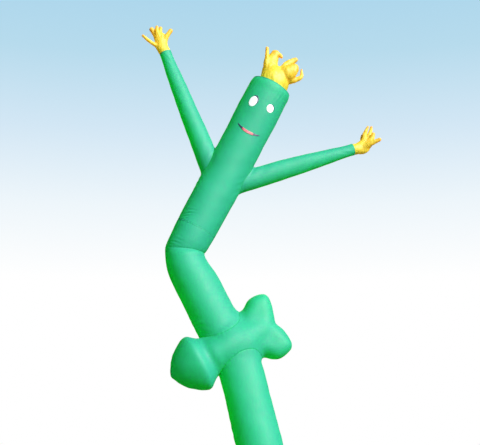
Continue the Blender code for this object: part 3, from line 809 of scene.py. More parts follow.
# Where the body's sleeves meet the arrow, they melt into it softly on the right and are
# drawn into a crease on the left. For each: its sections, how far along it the arrow is, the
# side of the arrow it lies on, where the softness starts, over what width it grows, a seed.
ArrowJoint = namedtuple("ArrowJoint", "cuts guess side start width seed")
MEETS_LOWER = ArrowJoint(LOWER_TUBE, 2.75, -1.0, -0.50, 0.22, 23)
MEETS_MIDDLE = ArrowJoint(BELOW_FOLD, 0.10, 1.0, -0.76, 0.26, 33)
MELT_LEFT, MELT_RIGHT = 0.022, 0.100
MELT_FULL = 0.08              # from the arrow's own middle
ARROW_SEAM_DEPTH = 0.0042     # where it is deepest, on the left
ARROW_SEAM_RADIUS = 0.23      # of the sleeves there


def beside_arrow(points, joint):
    """How far points lie from the arrow's own middle, towards the sleeve that meets it."""
    return (points - ARROW_CENTRE) @ ARROW_UPPER * joint.side


def melt_reach(points, joint):
    share = smooth_step((points[..., 0] - joint.start) / joint.width)
    return MELT_LEFT + (MELT_RIGHT - MELT_LEFT) * share


def melt_fade(points, joint):
    """Nothing across the arrow's own middle, full where the sleeve leaves it."""
    return smooth_step(beside_arrow(points, joint) / MELT_FULL)


def arrow_seam(points, distance, place, joint):
    """The gathers at the arrow's seam: less deep where the two melt into each other."""
    groove = ARROW_SEAM_DEPTH * (MELT_LEFT / melt_reach(points, joint)) ** 0.7
    return pucker(np.maximum(distance, 0.0), place, Gathers(joint.seed, groove=groove))


def sewn_to_arrow(points, out, lift, radius, joint):
    """Points of a sleeve, melted into the arrow, and with its own creases away from it."""
    gap, slope = arrow_distance(points), slope_of(arrow_distance, points)
    slope = slope / np.maximum(np.linalg.norm(slope, axis=-1, keepdims=True), 1e-6)
    reach, fade = melt_reach(points, joint), melt_fade(points, joint)
    points = melted(points, out, gap, slope, reach, fade)
    points = points + out * (lift * np.clip(gap / HELD, 0.0, 1.0))[..., None]
    return points + out * arrow_seam(points, gap, np.radians(TURNS) * radius, joint)[..., None]


LOWER_RIPPLES = [
    Ripple(0.30, -60.0, 0.30, 0.16, 0.130, 0.0022, 60.0),
    Ripple(0.95, 70.0, 0.35, 0.14, 0.150, 0.0020, -55.0),
    Ripple(2.02, -75.0, 0.26, 0.12, 0.090, 0.0024, 35.0),
    Ripple(2.10, 60.0, 0.26, 0.12, 0.110, 0.0022, -35.0),
]


def make_tube_lower():
    radius = tube_radius(LOWER_TUBE)
    ends = meeting(lambda along: sleeve_points(LOWER_TUBE, along)[0], len(TURNS), arrow_distance,
                   LOWER_LEVEL + 0.05, cut_table(LOWER_TUBE)[0][-1])
    plain, inset = row_places(ends.mean(), ROW_STEP, HEM, 0.0)
    along, inset = stretched(plain, ends, LOWER_LEVEL), inset[:, None]
    points, out = sleeve_points(LOWER_TUBE, along)
    lift = tube_lift(LOWER_RIPPLES, along, radius)
    lift = lift + pucker(along - HEM, np.radians(TURNS) * radius, HEM_GATHERS)
    lift = np.where(inset == 0, lift, ripple_lift(LOWER_RIPPLES, along, TURNS, radius)) - inset
    flutter = FLUTTER * wavy(points, FLUTTER_WAVE, FLUTTER_SEED, (1, 1, 0.3))
    lift = lift + flutter * np.exp(-np.abs(along) / FLUTTER_REACH)
    points = warp(sewn_to_arrow(points, out, lift, radius, MEETS_LOWER))
    made = sleeve_object("tube_lower.cloth", points, along, TURNS, radius)
    sew(made, along, slice(TURNED_ROWS, None), [*HEM_STITCHES, ends - SEAM_IN], BACK_STITCHES)
    return made


MIDDLE_RIPPLES = [
    Ripple(0.30, -60.0, 0.16, 0.12, 0.075, 0.0026, -30.0),
    Ripple(0.35, 55.0, 0.18, 0.12, 0.100, 0.0024, 30.0),
]
ELBOW_RIPPLES = [
    Ripple(0.045, -56.0, 0.050, 0.080, 0.024, 0.0032, -4.0),
    Ripple(0.065, -26.0, 0.050, 0.070, 0.034, 0.0018, -10.0),
]


# The elbow's fold: a groove all round, deeper in front, and what rises and sinks in front
# below and above it (height, place from the fold, reach).
FOLD_FRONT, FOLD_SPAN = 12.0, 42.0          # degrees round: its middle and reach
FOLD_DEPTH, FOLD_DEEPER, FOLD_REACH = 0.005, 0.006, 0.014
FOLD_ROLLS = ((0.005, -0.055, 0.034), (-0.003, 0.040, 0.040))


def fold_shape(from_fold, turns):
    front = np.exp(-((turns - FOLD_FRONT) / FOLD_SPAN) ** 2)
    lift = -(FOLD_DEPTH + FOLD_DEEPER * front) * np.exp(-np.abs(from_fold) / FOLD_REACH)
    for height, place, reach in FOLD_ROLLS:
        lift = lift + height * front * np.exp(-((from_fold - place) / reach) ** 2)
    return lift


def make_tube_middle():
    """Two sweeps that share a row at the fold: from the arrow up to it, and on to the ring."""
    fold, ring = cut_table(BELOW_FOLD)[0][-1], cut_table(ABOVE_FOLD)[0][-1]
    radius = tube_radius(BELOW_FOLD)
    starts = meeting(lambda along: sleeve_points(BELOW_FOLD, along)[0], len(TURNS),
                     lambda points: -arrow_distance(points), 0.0, MIDDLE_LEVEL - 0.04)
    plain = np.concatenate([
        np.linspace(starts.mean(), MIDDLE_LEVEL, MELT_ROWS)[:-1],
        np.linspace(MIDDLE_LEVEL, fold, int((fold - MIDDLE_LEVEL) / FOLD_STEP)),
    ])
    below = stretched(plain, starts, MIDDLE_LEVEL)
    plain, inset = row_places(ring, FOLD_STEP, 0.0, SEAM_TURN_IN)
    above = np.repeat(plain[1:, None], len(TURNS), axis=1)
    inset = np.concatenate([np.zeros(len(below)), inset[1:]])[:, None]
    points, out = (np.concatenate(both) for both in zip(
        sleeve_points(BELOW_FOLD, below), sleeve_points(ABOVE_FOLD, above)))
    along, from_fold = np.concatenate([below, above + fold]), np.concatenate([below - fold, above])
    lift = tube_lift(MIDDLE_RIPPLES, along, radius) + fold_shape(from_fold, TURNS)
    lift = lift + ripple_lift(ELBOW_RIPPLES, from_fold, TURNS, radius)
    lift = lift + pucker(from_fold - ring, np.radians(TURNS) * radius, RING_GATHERS)
    lift = np.where(inset == 0, lift, 0.0) - inset
    points = warp(sewn_to_arrow(points, out, lift, radius, MEETS_MIDDLE))
    made = sleeve_object("tube_middle.cloth", points, along, TURNS, radius)
    sew(made, along, slice(None, -TURNED_ROWS), [starts + SEAM_IN, fold + ring - SEAM_IN],
        BACK_STITCHES)
    return made


UPPER_RIPPLES = [
    Ripple(0.070, -40.0, 0.055, 0.055, 0.030, 0.0046, 24.0),
    Ripple(0.120, -30.0, 0.050, 0.060, 0.038, 0.0026, 14.0),
    Ripple(0.50, -75.0, 0.12, 0.10, 0.060, 0.0022, -30.0),
    Ripple(0.62, 75.0, 0.12, 0.10, 0.070, 0.0022, 40.0),
    Ripple(1.05, -50.0, 0.25, 0.14, 0.160, 0.0018, 65.0),
    Ripple(1.66, 40.0, 0.07, 0.10, 0.045, 0.0014, 80.0),
    Ripple(1.67, -50.0, 0.06, 0.09, 0.040, 0.0014, 85.0),
]
ARM_MELT = 0.030
ARM_HOLE_DEPTH = 0.010
SHOULDER_RADIUS, WRIST_RADIUS = 0.12, 0.06


def make_tube_upper():
    length, radius = cut_table(UPPER_TUBE)[0][-1], tube_radius(UPPER_TUBE)
    plain, inset = row_places(length, ROW_STEP, SEAM_TURN_IN, SEAM_TURN_IN)
    along, inset = np.repeat(plain[:, None], len(TURNS), axis=1), inset[:, None]
    points, out = sleeve_points(UPPER_TUBE, along)
    arc = np.radians(TURNS) * radius
    lift = tube_lift(UPPER_RIPPLES, along, radius) + pucker(along, arc, RING_GATHERS)
    lift = lift + pucker(length - along, arc, HEAD_GATHERS)
    lift = np.where(inset == 0, lift, 0.0) - inset
    nearest = np.ones(along.shape)
    moved = points
    for place in ARM_PLACES.values():
        near = about_arm(place, points)
        moved = melted(moved, out, near.distance, near.out, ARM_MELT)
        nearest = np.minimum(nearest, near.distance)
        arc = np.radians(near.turn) * SHOULDER_RADIUS
        seam = pucker(np.maximum(near.distance, 0.0), arc, SHOULDER_GATHERS)
        moved = moved + out * (seam * (near.distance > -HELD))[..., None]
    moved = moved + out * (lift * np.clip(nearest / HELD, 0.0, 1.0))[..., None]
    made = sleeve_object("tube_upper.cloth", moved, along, TURNS, radius)
    sew(made, along, slice(TURNED_ROWS, -TURNED_ROWS), [SEAM_IN, length - SEAM_IN],
        BACK_STITCHES)
    for place in ARM_PLACES.values():
        open_hole(made, lambda points: about_arm(place, points).distance, ARM_HOLE_DEPTH)
    put_points(made, warp(mesh_arrays(made.data)[0]))
    return made


# ---------------- the arms
ARM_COLUMNS = 88
ARM_STEP = 0.009
ARM_MEAN_RADIUS = 0.10
SHOULDER_ALONG = 0.5          # about where the arms meet the upper tube, along it
ARM_RIPPLES = {
    "arm_left": [
        Ripple(0.10, 20.0, 0.10, 0.05, 0.060, 0.0016, 60.0),
        Ripple(0.55, -40.0, 0.22, 0.07, 0.120, 0.0016, 60.0),
        Ripple(1.25, 30.0, 0.20, 0.08, 0.100, 0.0020, -55.0),
    ],
    "arm_right": [
        Ripple(0.10, 10.0, 0.10, 0.05, 0.060, 0.0016, -60.0),
        Ripple(0.60, 50.0, 0.22, 0.07, 0.130, 0.0018, 60.0),
        Ripple(1.15, -20.0, 0.20, 0.08, 0.110, 0.0020, 50.0),
    ],
}


def arm_points(place, along, turns):
    cuff, way, deep, wide = arm_axes(place)
    turn = np.broadcast_to(np.radians(turns), along.shape)[..., None]
    out = wide * np.sin(turn) - deep * np.cos(turn)
    return cuff + way * along[..., None] + out * arm_radius(along)[..., None], out


def make_arm(name):
    place = ARM_PLACES[name]
    turns = np.linspace(-180.0, 180.0, ARM_COLUMNS, endpoint=False)
    ends = meeting(lambda along: arm_points(place, along, turns)[0], ARM_COLUMNS,
                   lambda points: about_sleeve(UPPER_TUBE, points, SHOULDER_ALONG).distance,
                   ARM_LEVEL + 0.10, ARM_LENGTH, 120)
    plain, inset = row_places(ends.mean(), ARM_STEP, SEAM_TURN_IN, 0.0)
    along, inset = stretched(plain, ends, ARM_LEVEL), inset[:, None]
    points, out = arm_points(place, along, turns)
    near = about_sleeve(UPPER_TUBE, points, SHOULDER_ALONG)
    lift = ripple_lift(ARM_RIPPLES[name], along, turns, ARM_MEAN_RADIUS)
    lift = lift * np.clip(near.distance / ARM_MELT, 0.0, 1.0)
    lift = lift + pucker(along, np.radians(turns) * WRIST_RADIUS, WRIST_GATHERS)
    lift = np.where(inset == 0, lift, 0.0) - inset * 0.7
    arc = np.radians(turns) * SHOULDER_RADIUS
    lift = lift + pucker(np.maximum(near.distance, 0.0), arc, SHOULDER_GATHERS)
    points = melted(points, out, near.distance, near.out, ARM_MELT)
    points = warp(points + out * lift[..., None])
    made = sleeve_object(name + ".cloth", points, along, turns, ARM_MEAN_RADIUS)
    sew(made, along, slice(TURNED_ROWS, None), [SEAM_IN, ends - SEAM_IN], [0])
    return made


# ---------------- the arrow's skin
ARROW_STEP = 0.009
ARROW_HOLE_DEPTH = 0.014
WHOLE_SMOOTHING, TAIL_SMOOTHING = 5, 40       # rounds of evening out
TAIL_FROM, TAIL_GROWS = -0.16, 0.12           # along the arrow, where the tail's starts
HOLES_FROM = 0.06             # from the arrow's own middle
ARROW_EDGE, ARROW_EDGE_RADIUS = 0.004, 0.45   # its seam's half width, and distance out


def make_arrow():
    low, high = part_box("arrow")
    made = wrapped("arrow.cloth", arrow_distance, low, high, 0.03, ARROW_STEP)
    for turn in range(TAIL_SMOOTHING):
        along = arrow_local(mesh_arrays(made.data)[0])[:, :1]
        tail = smooth_step((TAIL_FROM - along) / TAIL_GROWS)
        relax(made, 0.5 if turn < WHOLE_SMOOTHING else 0.5 * tail)
    points, normals = mesh_arrays(made.data)
    moved, lift = points, arrow_creases(points, normals)
    for joint in (MEETS_LOWER, MEETS_MIDDLE):
        near = about_sleeve(joint.cuts, points, joint.guess)
        arc, fade = np.radians(near.turn) * ARROW_SEAM_RADIUS, melt_fade(points, joint)
        moved = melted(moved, normals, near.distance, near.out, melt_reach(points, joint), fade)
        lift = lift + arrow_seam(points, near.distance, arc, joint) * fade
    put_points(made, moved + normals * lift[:, None])
    for joint in (MEETS_LOWER, MEETS_MIDDLE):
        def inside(points):
            distance = about_sleeve(joint.cuts, points, joint.guess).distance
            return np.where(beside_arrow(points, joint) > HOLES_FROM, distance, 1.0)

        open_hole(made, inside, ARROW_HOLE_DEPTH)
    points, _ = mesh_arrays(made.data)
    local = arrow_local(points)
    put_points(made, warp(points))
    set_weave(made, local[:, 0], local[:, 2])
    return made


def arrow_creases(points, normals):
    """The gathered seam round the arrow's edge, where its two faces are sewn together."""
    local = arrow_local(points)
    edgewise = np.abs(local[:, 1]) - ARROW_EDGE
    place = np.arctan2(local[:, 2], local[:, 0]) * ARROW_EDGE_RADIUS
    rim = pucker(np.maximum(edgewise, 0.0), place, ARROW_RIM_GATHERS)
    facing_edge = smooth_step((0.55 - np.abs(normals @ ARROW_FRONT)) / 0.3)
    return rim * facing_edge


# ---------------- hands and hair
# A blown-up form of tapering strands, cut open where it is sewn on: what melts into what.
HAND_STEP, HAIR_STEP = 0.0036, 0.0052
HAND_MELT, HAIR_MELT = 0.015, 0.018
ROOT_TUCKED = 0.010           # of a hand, into the arm it is sewn to
# how far a finger's end is darkened towards the painted crease-shade colour
TIP_DARKENED = 0.75               # how far a finger's end takes the colour of folded cloth
# painted shade in hollows: how far the hollowness is smoothed, and how deep is fully shaded
HOLLOW_ROUNDS, HOLLOW_FULL = 24, 0.95     # over how many edges, how deep in steps

# A hand's waves: how high, how long, a seed. The hair's are larger, as its step is.
Waves = namedtuple("Waves", "lift length seed")
DRAWN, SWELLING, PUFFS = Waves(0.0009, 0.046, 71), Waves(0.0016, 0.13, 72), Waves(0.0024, 0.056, 76)
CREASES, CREASE_BENDS = Waves(0.0016, 0.019, 74), 0.006
DRAWN_REACH, CREASE_REACH = 0.03, 0.055


def make_blown(node, origin, root, fingers, step, melt, cut_point, cut_way):
    """A hand or the hair: one skin, gathered at its middle seam and at each finger's root."""
    origin = np.array(origin)

    def distance(points):
        form = strand(points - origin, root)
        for finger in fingers:
            form = soft_union(form, strand(points - origin, finger), melt)
        return form

    low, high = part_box(node)
    made = wrapped(node + ".cloth", distance, low, high, 0.05, step)
    for _ in range(2):
        relax(made, 0.5)
    points, normals = mesh_arrays(made.data)
    lift = tuft_wrinkles(points - origin, fingers, step / HAND_STEP)
    put_points(made, points + normals * lift[:, None])
    cut_open(made, cut_point, cut_way)
    local = mesh_arrays(made.data)[0] - origin
    set_weave(made, local[:, 0] + 0.4 * local[:, 1], local[:, 2])
    tips = TIP_DARKENED * tip_shade(local, fingers) * (0.7 + 0.3 * wavy(local, 0.05, 75))
    # painted shade: the skin's hollows and finger ends make the fold value that the material
    # darkens
    hollow = hollows(made.data, HOLLOW_ROUNDS, step * HOLLOW_FULL)
    set_shade(made, "fold", np.maximum(hollow, tips))
    return made


def tuft_wrinkles(local, fingers, scale):
    """Gathers drawn across the seam round the form, and creases that run into each crotch."""
    def waves(kind, points, squeeze=(1.0, 1.0, 1.0)):
        return wavy(points, kind.length * scale, kind.seed, squeeze)

    drawn = waves(DRAWN, np.stack([local[:, 0], 0.05 * local[:, 1], local[:, 2]], axis=-1))
    drawn = drawn * np.exp(-np.abs(local[:, 1]) / (DRAWN_REACH * scale))
    lift = (DRAWN.lift * drawn + SWELLING.lift * waves(SWELLING, local)) * scale
    puffs = np.abs(waves(PUFFS, local, (1.0, 1.0, 0.5))) - 0.5
    lift = lift + PUFFS.lift * scale ** 2 * puffs
    for k, (first, second) in enumerate(zip(fingers, fingers[1:])):
        off = local - (middle_of(first[0]) + middle_of(second[0])) / 2
        way = unit(middle_of(second[1]) - middle_of(first[1]))
        near = np.exp(-((off * off).sum(axis=1)) / (CREASE_REACH * scale) ** 2)
        bends = CREASE_BENDS * wavy(local, 0.09 * scale, CREASES.seed + k)
        across = off @ way / scale + bends
        crease = np.cos(across * math.tau / CREASES.length)
        lift = lift + CREASES.lift * scale * near * crease
    return lift


def tip_shade(local, fingers):
    """How near each vertex is to the end of a finger, where it is darkened, from 0 to 1."""
    shade = np.zeros(len(local))
    for finger in fingers:
        off = np.linalg.norm(local - middle_of(finger[-1]), axis=1)
        shade = np.maximum(shade, np.exp(-(off / (1.1 * finger[-1].half_width + 0.010)) ** 2))
    return shade


def make_hand(node, root, fingers):
    cuff, way, _, _ = arm_axes(ARM_PLACES["arm" + node[4:]])
    return make_blown(node, cuff, root, fingers, HAND_STEP, HAND_MELT,
                      cuff + way * ROOT_TUCKED, way)


HEAD_RIGHT, HEAD_UP = lean_ways(math.radians(UPPER_LEAN))


def make_hair():
    return make_blown("hair", HEAD_TOP, HAIR_TUFT, HAIR_FINGERS, HAIR_STEP, HAIR_MELT,
                      HEAD_TOP + HEAD_UP * CROWN_RISE, -HEAD_UP)


# ---------------- the head's top panel
TOP_RINGS, TOP_SIDES = 16, 180


def make_head_top():
    """A ring of cloth on the head's top, puckered at its edge and up to the hair."""
    turns = np.linspace(-180.0, 180.0, TOP_SIDES, endpoint=False)
    side, front = np.sin(np.radians(turns)), -np.cos(np.radians(turns))
    outer, inner = HEAD_EDGE_RADIUS + 0.001, HAIR_RADIUS + 0.002
    rows = [(outer - 0.004, -SEAM_TURN_IN), (outer - 0.003, -0.004)]
    for t in np.linspace(0, 1, TOP_RINGS):
        rise = CROWN_RISE * math.sin(t * math.pi / 2) + 0.001
        rows.append((outer + (inner - outer) * t, rise))
    rows += [(inner - 0.003, CROWN_RISE + 0.004), (inner - 0.008, CROWN_RISE - 0.006)]
    rows = np.array(rows)
    radius, rise = rows[:, :1], rows[:, 1:]
    arc = np.radians(turns) * outer
    lift = pucker(outer - radius, arc, TOP_GATHERS) + pucker(radius - inner, arc, HAIR_GATHERS)
    rise = rise + np.where(np.arange(len(rows))[:, None] > 1, lift, 0.0)
    points = HEAD_TOP + HEAD_RIGHT * (radius * side)[..., None]
    points = points + DEPTHWAYS * (radius * front)[..., None] + HEAD_UP * rise[..., None]
    faces = grid_faces(len(rows), TOP_SIDES)
    made = mesh_object("head_top.cloth", warp(points).reshape(-1, 3), faces)
    set_weave(made, (radius * side).ravel(), (radius * front).ravel())
    return made


# ---------------- the face
UNDER, OVER = 0.0022, 0.0044     # how far a patch stands off the head, and one on top of it
PATCH_RINGS, PATCH_SIDES = 14, 72
PATCH_WAVES = Waves(0.0005, 0.030, 81)
PATCH_EDGE, PATCH_DRAWN = 0.05, 0.75       # shares: of a patch that is edge, of its lift lost


def on_head(below, arc, lift):
    """Points over the head's skin, an arc's length round from the front."""
    places, _ = cut_table(UPPER_TUBE)
    head_end = places[3] + (HEAD_TOP - middle_of(UPPER_TUBE[3])) @ HEAD_UP
    along, turns = head_end - below, np.degrees(arc / HEAD_RADIUS)
    points, out = sleeve_points(UPPER_TUBE, along, turns)
    lift = lift + ripple_lift(UPPER_RIPPLES, along, turns, HEAD_RADIUS)
    return warp(points + out * lift[..., None])


def patch_object(name, below, arc, lift):
    """A thin patch sewn on the head, its edge drawn down to the sleeve under it."""
    rings, sides = below.shape
    share = np.linspace(0.0, 1.0, rings)[:, None]
    draw = np.exp(-((1 - share) / PATCH_EDGE) ** 2)
    uneven = PATCH_WAVES.lift * wavy(np.stack([below, arc, 0 * arc], axis=-1),
                                     PATCH_WAVES.length, PATCH_WAVES.seed)
    points = on_head(below, arc, lift * (1 - PATCH_DRAWN * draw) + uneven * share)
    flat = [points[0].mean(axis=0)] + list(points[1:].reshape(-1, 3))
    faces = [(0, 1 + (k + 1) % sides, 1 + k) for k in range(sides)]
    faces += [tuple(1 + i for i in face) for face in grid_faces(rings - 1, sides)]
    made = mesh_object(name, flat, [face[::-1] for face in faces])
    across, down = (np.concatenate([[v[0].mean()], v[1:].ravel()]) for v in (arc, below))
    set_weave(made, across, down)
    return made


def patch_grid(sides):
    """How far out each ring of a patch lies, and the angle of each of its sides."""
    angle = np.linspace(0.0, math.tau, sides, endpoint=False)
    return np.linspace(0.0, 1.0, PATCH_RINGS)[:, None], angle


def make_oval(name, oval, round_shift, up_shift, lift):
    share, angle = patch_grid(PATCH_SIDES)
    middle = math.radians(oval.angle) * HEAD_RADIUS + round_shift
    arc = middle + oval.half_width * share * np.cos(angle)
    below = oval.below - up_shift - oval.half_height * share * np.sin(angle)
    return patch_object(name, below, arc, lift)


def make_smile(name, span, lift):
    share, angle = patch_grid(2 * PATCH_SIDES)
    place = span * share * np.cos(angle)
    tall = MOUTH_HALF_THICKNESS * np.sqrt(1 - (span * np.cos(angle)) ** 2) * np.sign(np.sin(angle))
    tall = tall * np.minimum(1.0, np.abs(np.sin(angle)) * 4.0)
    arc = np.radians(MOUTH_ANGLE + MOUTH_HALF_SPAN * place) * HEAD_RADIUS
    below = MOUTH_BELOW - SMILE_RISE * place ** 2 + SMILE_TILT * place - share * tall
    return patch_object(name, below, arc, lift)


# ---------------- materials
def srgb(red, green, blue):
    """A colour given as a screen shows it, in the renderer's own scale."""
    parts = [c / 255.0 for c in (red, green, blue)]
    return [c / 12.92 if c <= 0.04045 else ((c + 0.055) / 1.055) ** 2.4 for c in parts] + [1.0]


class Nodes:
    """Short ways to add and join the nodes of one material."""

    def __init__(self, tree):
        self.tree = tree
        tree.nodes.clear()

    def add(self, kind, links=(), **settings):
        node = self.tree.nodes.new(kind)
        for name, value in settings.items():
            setattr(node, name, value)
        for name, value in dict(links).items():
            socket = node.inputs[name]
            if isinstance(value, bpy.types.NodeSocket):
                self.tree.links.new(value, socket)
            else:
                socket.default_value = value
        return node

    def maths(self, operation, first, second):
        return self.add("ShaderNodeMath", {0: first, 1: second}, operation=operation).outputs[0]

    def spread(self, value, low, high, new_low, new_high):
        links = {"Value": value, "From Min": low, "From Max": high,
                 "To Min": new_low, "To Max": new_high}
        return self.add("ShaderNodeMapRange", links).outputs["Result"]

    def noise(self, vector, scale, detail=3.0):
        links = {"Vector": vector, "Scale": scale, "Detail": detail}
        return self.add("ShaderNodeTexNoise", links).outputs["Fac"]

    def ramp(self, value, stops):
        node = self.add("ShaderNodeValToRGB", {"Fac": value})
        elements = node.color_ramp.elements
        while len(elements) < len(stops):
            elements.new(0.5)
        for element, (at, colour) in zip(elements, stops):
            element.position = at
            element.color = colour
        return node.outputs["Color"]

    def scaled(self, colour, amount):
        """A colour made brighter or darker by an amount around 1."""
        links = {"Vector": colour, "Scale": amount}
        return self.add("ShaderNodeVectorMath", links, operation="SCALE").outputs["Vector"]

    def shaded_in_creases(self, colour, folded, fold, amount):
        """A colour that turns into a painted shade colour in the cloth's creases and hollows."""
        links = {"Fac": fold, "Color1": colour + (1.0,), "Color2": folded + (1.0,)}
        return self.scaled(self.add("ShaderNodeMixRGB", links).outputs["Color"], amount)

    def bump(self, strength, distance, height, **under):
        links = {"Strength": strength, "Distance": distance, "Height": height, **under}
        return self.add("ShaderNodeBump", links).outputs["Normal"]

    def mixed(self, share, first, second):
        """Two shaders in one: the second by its share and the first by the rest."""
        links = {"Fac": share, 1: first.outputs[0], 2: second.outputs[0]}
        return self.add("ShaderNodeMixShader", links).outputs[0]

    def seen_or_met(self, seen, met):
        """One shader for what the camera sees, and another for all other light."""
        camera_ray = self.add("ShaderNodeLightPath").outputs["Is Camera Ray"]
        return self.mixed(camera_ray, met, seen)


def material(name):
    made = bpy.data.materials.new(name)
    made.use_nodes = True
    return made, Nodes(made.node_tree)


GRID = 0.006                  # between the thick threads of the ripstop cloth
THREAD = 0.10                 # a thick thread's share of that
WEAVE = 0.0009                # between the fine threads

# What a cloth reflects, what glows through it and that one's share, how rough it is, the
# painted shade colour it takes in creases and at finger ends, and how soiled it is at the foot.
Cloth = namedtuple("Cloth", "reflected glow share roughness folded soiled")
CLOTHS = {
    "green_cloth": Cloth((0.008, 0.400, 0.325), (0.003, 0.880, 0.010), 0.54, 0.70,
                         (0.000, 0.180, 0.030), 0.25),
    "yellow_cloth": Cloth((0.940, 0.720, 0.045), (1.000, 0.720, 0.008), 0.50, 0.60,
                          (0.850, 0.260, 0.004), 0.0),
    "white_patch": Cloth((0.960, 0.950, 0.930), (0.900, 0.900, 0.880), 0.10, 0.50,
                         (0.500, 0.520, 0.520), 0.0),
    "navy_patch": Cloth((0.012, 0.014, 0.055), (0.005, 0.008, 0.050), 0.05, 0.50,
                        (0.010, 0.010, 0.040), 0.0),
    "pink_patch": Cloth((0.600, 0.098, 0.132), (0.700, 0.060, 0.080), 0.12, 0.50,
                        (0.400, 0.050, 0.070), 0.0),
}
COATING = {"IOR": 1.60, "Specular IOR Level": 0.90}
FINE_SHARE = 0.22             # of the fine threads' height to the thick ones'
PATCHY, MOTTLED, LOOSE = (2.6, 3.0), (19.0, 5.0), (9.0, 2.0)     # noises: scale and detail
MIDDLE = (0.3, 0.7)           # most of a noise's values lie between these
SOIL_HEIGHT = (0.02, 0.45)    # dirt fades out between these


def threads_of(nodes):
    """The weave's height, and the thick threads in it that make the ripstop's grid."""
    weave = nodes.add("ShaderNodeUVMap", uv_map="weave").outputs["UV"]
    split = nodes.add("ShaderNodeSeparateXYZ", {"Vector": weave})
    lines, waves = [], []
    for axis in ("X", "Y"):
        at = nodes.maths("PINGPONG", nodes.maths("DIVIDE", split.outputs[axis], GRID), 0.5)
        lines.append(nodes.spread(at, THREAD, THREAD / 2, 0.0, 1.0))
        turn = nodes.maths("MULTIPLY", split.outputs[axis], math.tau / WEAVE)
        waves.append(nodes.maths("SINE", turn, 0.0))
    thick = nodes.maths("MAXIMUM", *lines)
    fine = nodes.maths("MULTIPLY", nodes.maths("MULTIPLY", *waves), FINE_SHARE)
    return nodes.maths("ADD", fine, thick), thick


def cloth_material(name, cloth):
    """Coated ripstop nylon, uneven in tone, and a little dirty at the foot."""
    made, nodes = material(name)
    threads, thick = threads_of(nodes)
    place = nodes.add("ShaderNodeTexCoord").outputs["Object"]
    mottled = nodes.noise(place, *MOTTLED)
    tones = [
        nodes.spread(nodes.noise(place, *PATCHY), *MIDDLE, 0.95, 1.05),
        nodes.spread(mottled, *MIDDLE, 0.975, 1.025), nodes.spread(thick, 0.0, 1.0, 1.0, 0.93),
    ]
    if cloth.soiled:
        height = nodes.add("ShaderNodeSeparateXYZ", {"Vector": place}).outputs["Z"]
        foot = nodes.spread(height, *SOIL_HEIGHT, cloth.soiled, 0.0)
        foot = nodes.maths("MULTIPLY", foot, nodes.spread(mottled, 0.35, 0.65, 0.3, 1.0))
        tones.append(nodes.maths("SUBTRACT", 1.0, foot))
    bright = tones[0]
    for tone in tones[1:]:
        bright = nodes.maths("MULTIPLY", bright, tone)
    # painted shade: the fold value darkens the cloth towards its painted crease-shade colour
    fold = nodes.add("ShaderNodeAttribute", attribute_name="fold").outputs["Fac"]
    bump = nodes.bump(0.30, 0.0020, nodes.noise(place, *LOOSE))
    bump = nodes.bump(0.5, 0.00012, threads, Normal=bump)
    rough = nodes.spread(mottled, *MIDDLE, cloth.roughness - 0.05, cloth.roughness + 0.05)
    solid = nodes.add("ShaderNodeBsdfPrincipled", {
        "Base Color": nodes.shaded_in_creases(cloth.reflected, cloth.folded, fold, bright),
        "Roughness": rough, "Normal": bump, **COATING,
    })
    glow = nodes.add("ShaderNodeBsdfTranslucent", {
        "Color": nodes.shaded_in_creases(cloth.glow, cloth.folded, fold, bright), "Normal": bump,
    })
    both = nodes.mixed(cloth.share, solid, glow)
    nodes.add("ShaderNodeOutputMaterial", {"Surface": both})
    return made


MATERIALS = {name: cloth_material(name, cloth) for name, cloth in CLOTHS.items()}


# ---------------- all the pieces
def place_cloth(piece, node, slot):
    """Gives a sheet its cloth and body, and hides its node's solid."""
    piece.data.materials.clear()
    piece.data.materials.append(MATERIALS[slot])
    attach(piece, "root")
    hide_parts(node)


def place_pieces():
    place_cloth(make_tube_lower(), "tube_lower", "green_cloth")
    place_cloth(make_tube_middle(), "tube_middle", "green_cloth")
    place_cloth(make_tube_upper(), "tube_upper", "green_cloth")
    place_cloth(make_arrow(), "arrow", "green_cloth")
    for name in ARM_PLACES:
        place_cloth(make_arm(name), name, "green_cloth")
    place_cloth(make_head_top(), "head_top", "green_cloth")
    hands = {"hand_left": (LEFT_PALM, LEFT_FINGERS), "hand_right": (RIGHT_PALM, RIGHT_FINGERS)}
    for name, strands in hands.items():
        place_cloth(make_hand(name, *strands), name, "yellow_cloth")
    place_cloth(make_hair(), "hair", "yellow_cloth")
    for name, oval in EYES.items():
        rim = make_oval(name + "_rim.cloth", oval, oval.rim_round, oval.rim_up, UNDER)
        eye = make_oval(name + ".cloth", oval, 0.0, 0.0, OVER)
        place_cloth(rim, name + "_rim", "navy_patch")
        place_cloth(eye, name, "white_patch")
    smile = make_smile("mouth.cloth", MOUTH_SHARE, UNDER)
    lips = make_smile("lips.cloth", LIPS_SHARE, OVER)
    place_cloth(smile, "mouth", "navy_patch")
    place_cloth(lips, "lips", "pink_patch")


place_pieces()


# ---------------- sky, lights and camera
SKY_STRENGTH = 0.8
# Colours by height: the sky that is seen, from the horizon up, as a screen shows it, and
# the light that sky and haze give, from straight below (0) to straight above (1).
SKY_SEEN = [(0.12, (255, 255, 255)), (0.20, (238, 246, 251)), (0.28, (211, 231, 245)),
            (0.36, (183, 219, 237)), (0.42, (172, 214, 236))]
SKY_LIGHT = [(0.00, (0.02, 0.03, 0.02)), (0.48, (0.03, 0.05, 0.04)),
             (0.60, (0.04, 0.07, 0.07)), (1.00, (0.02, 0.06, 0.07))]


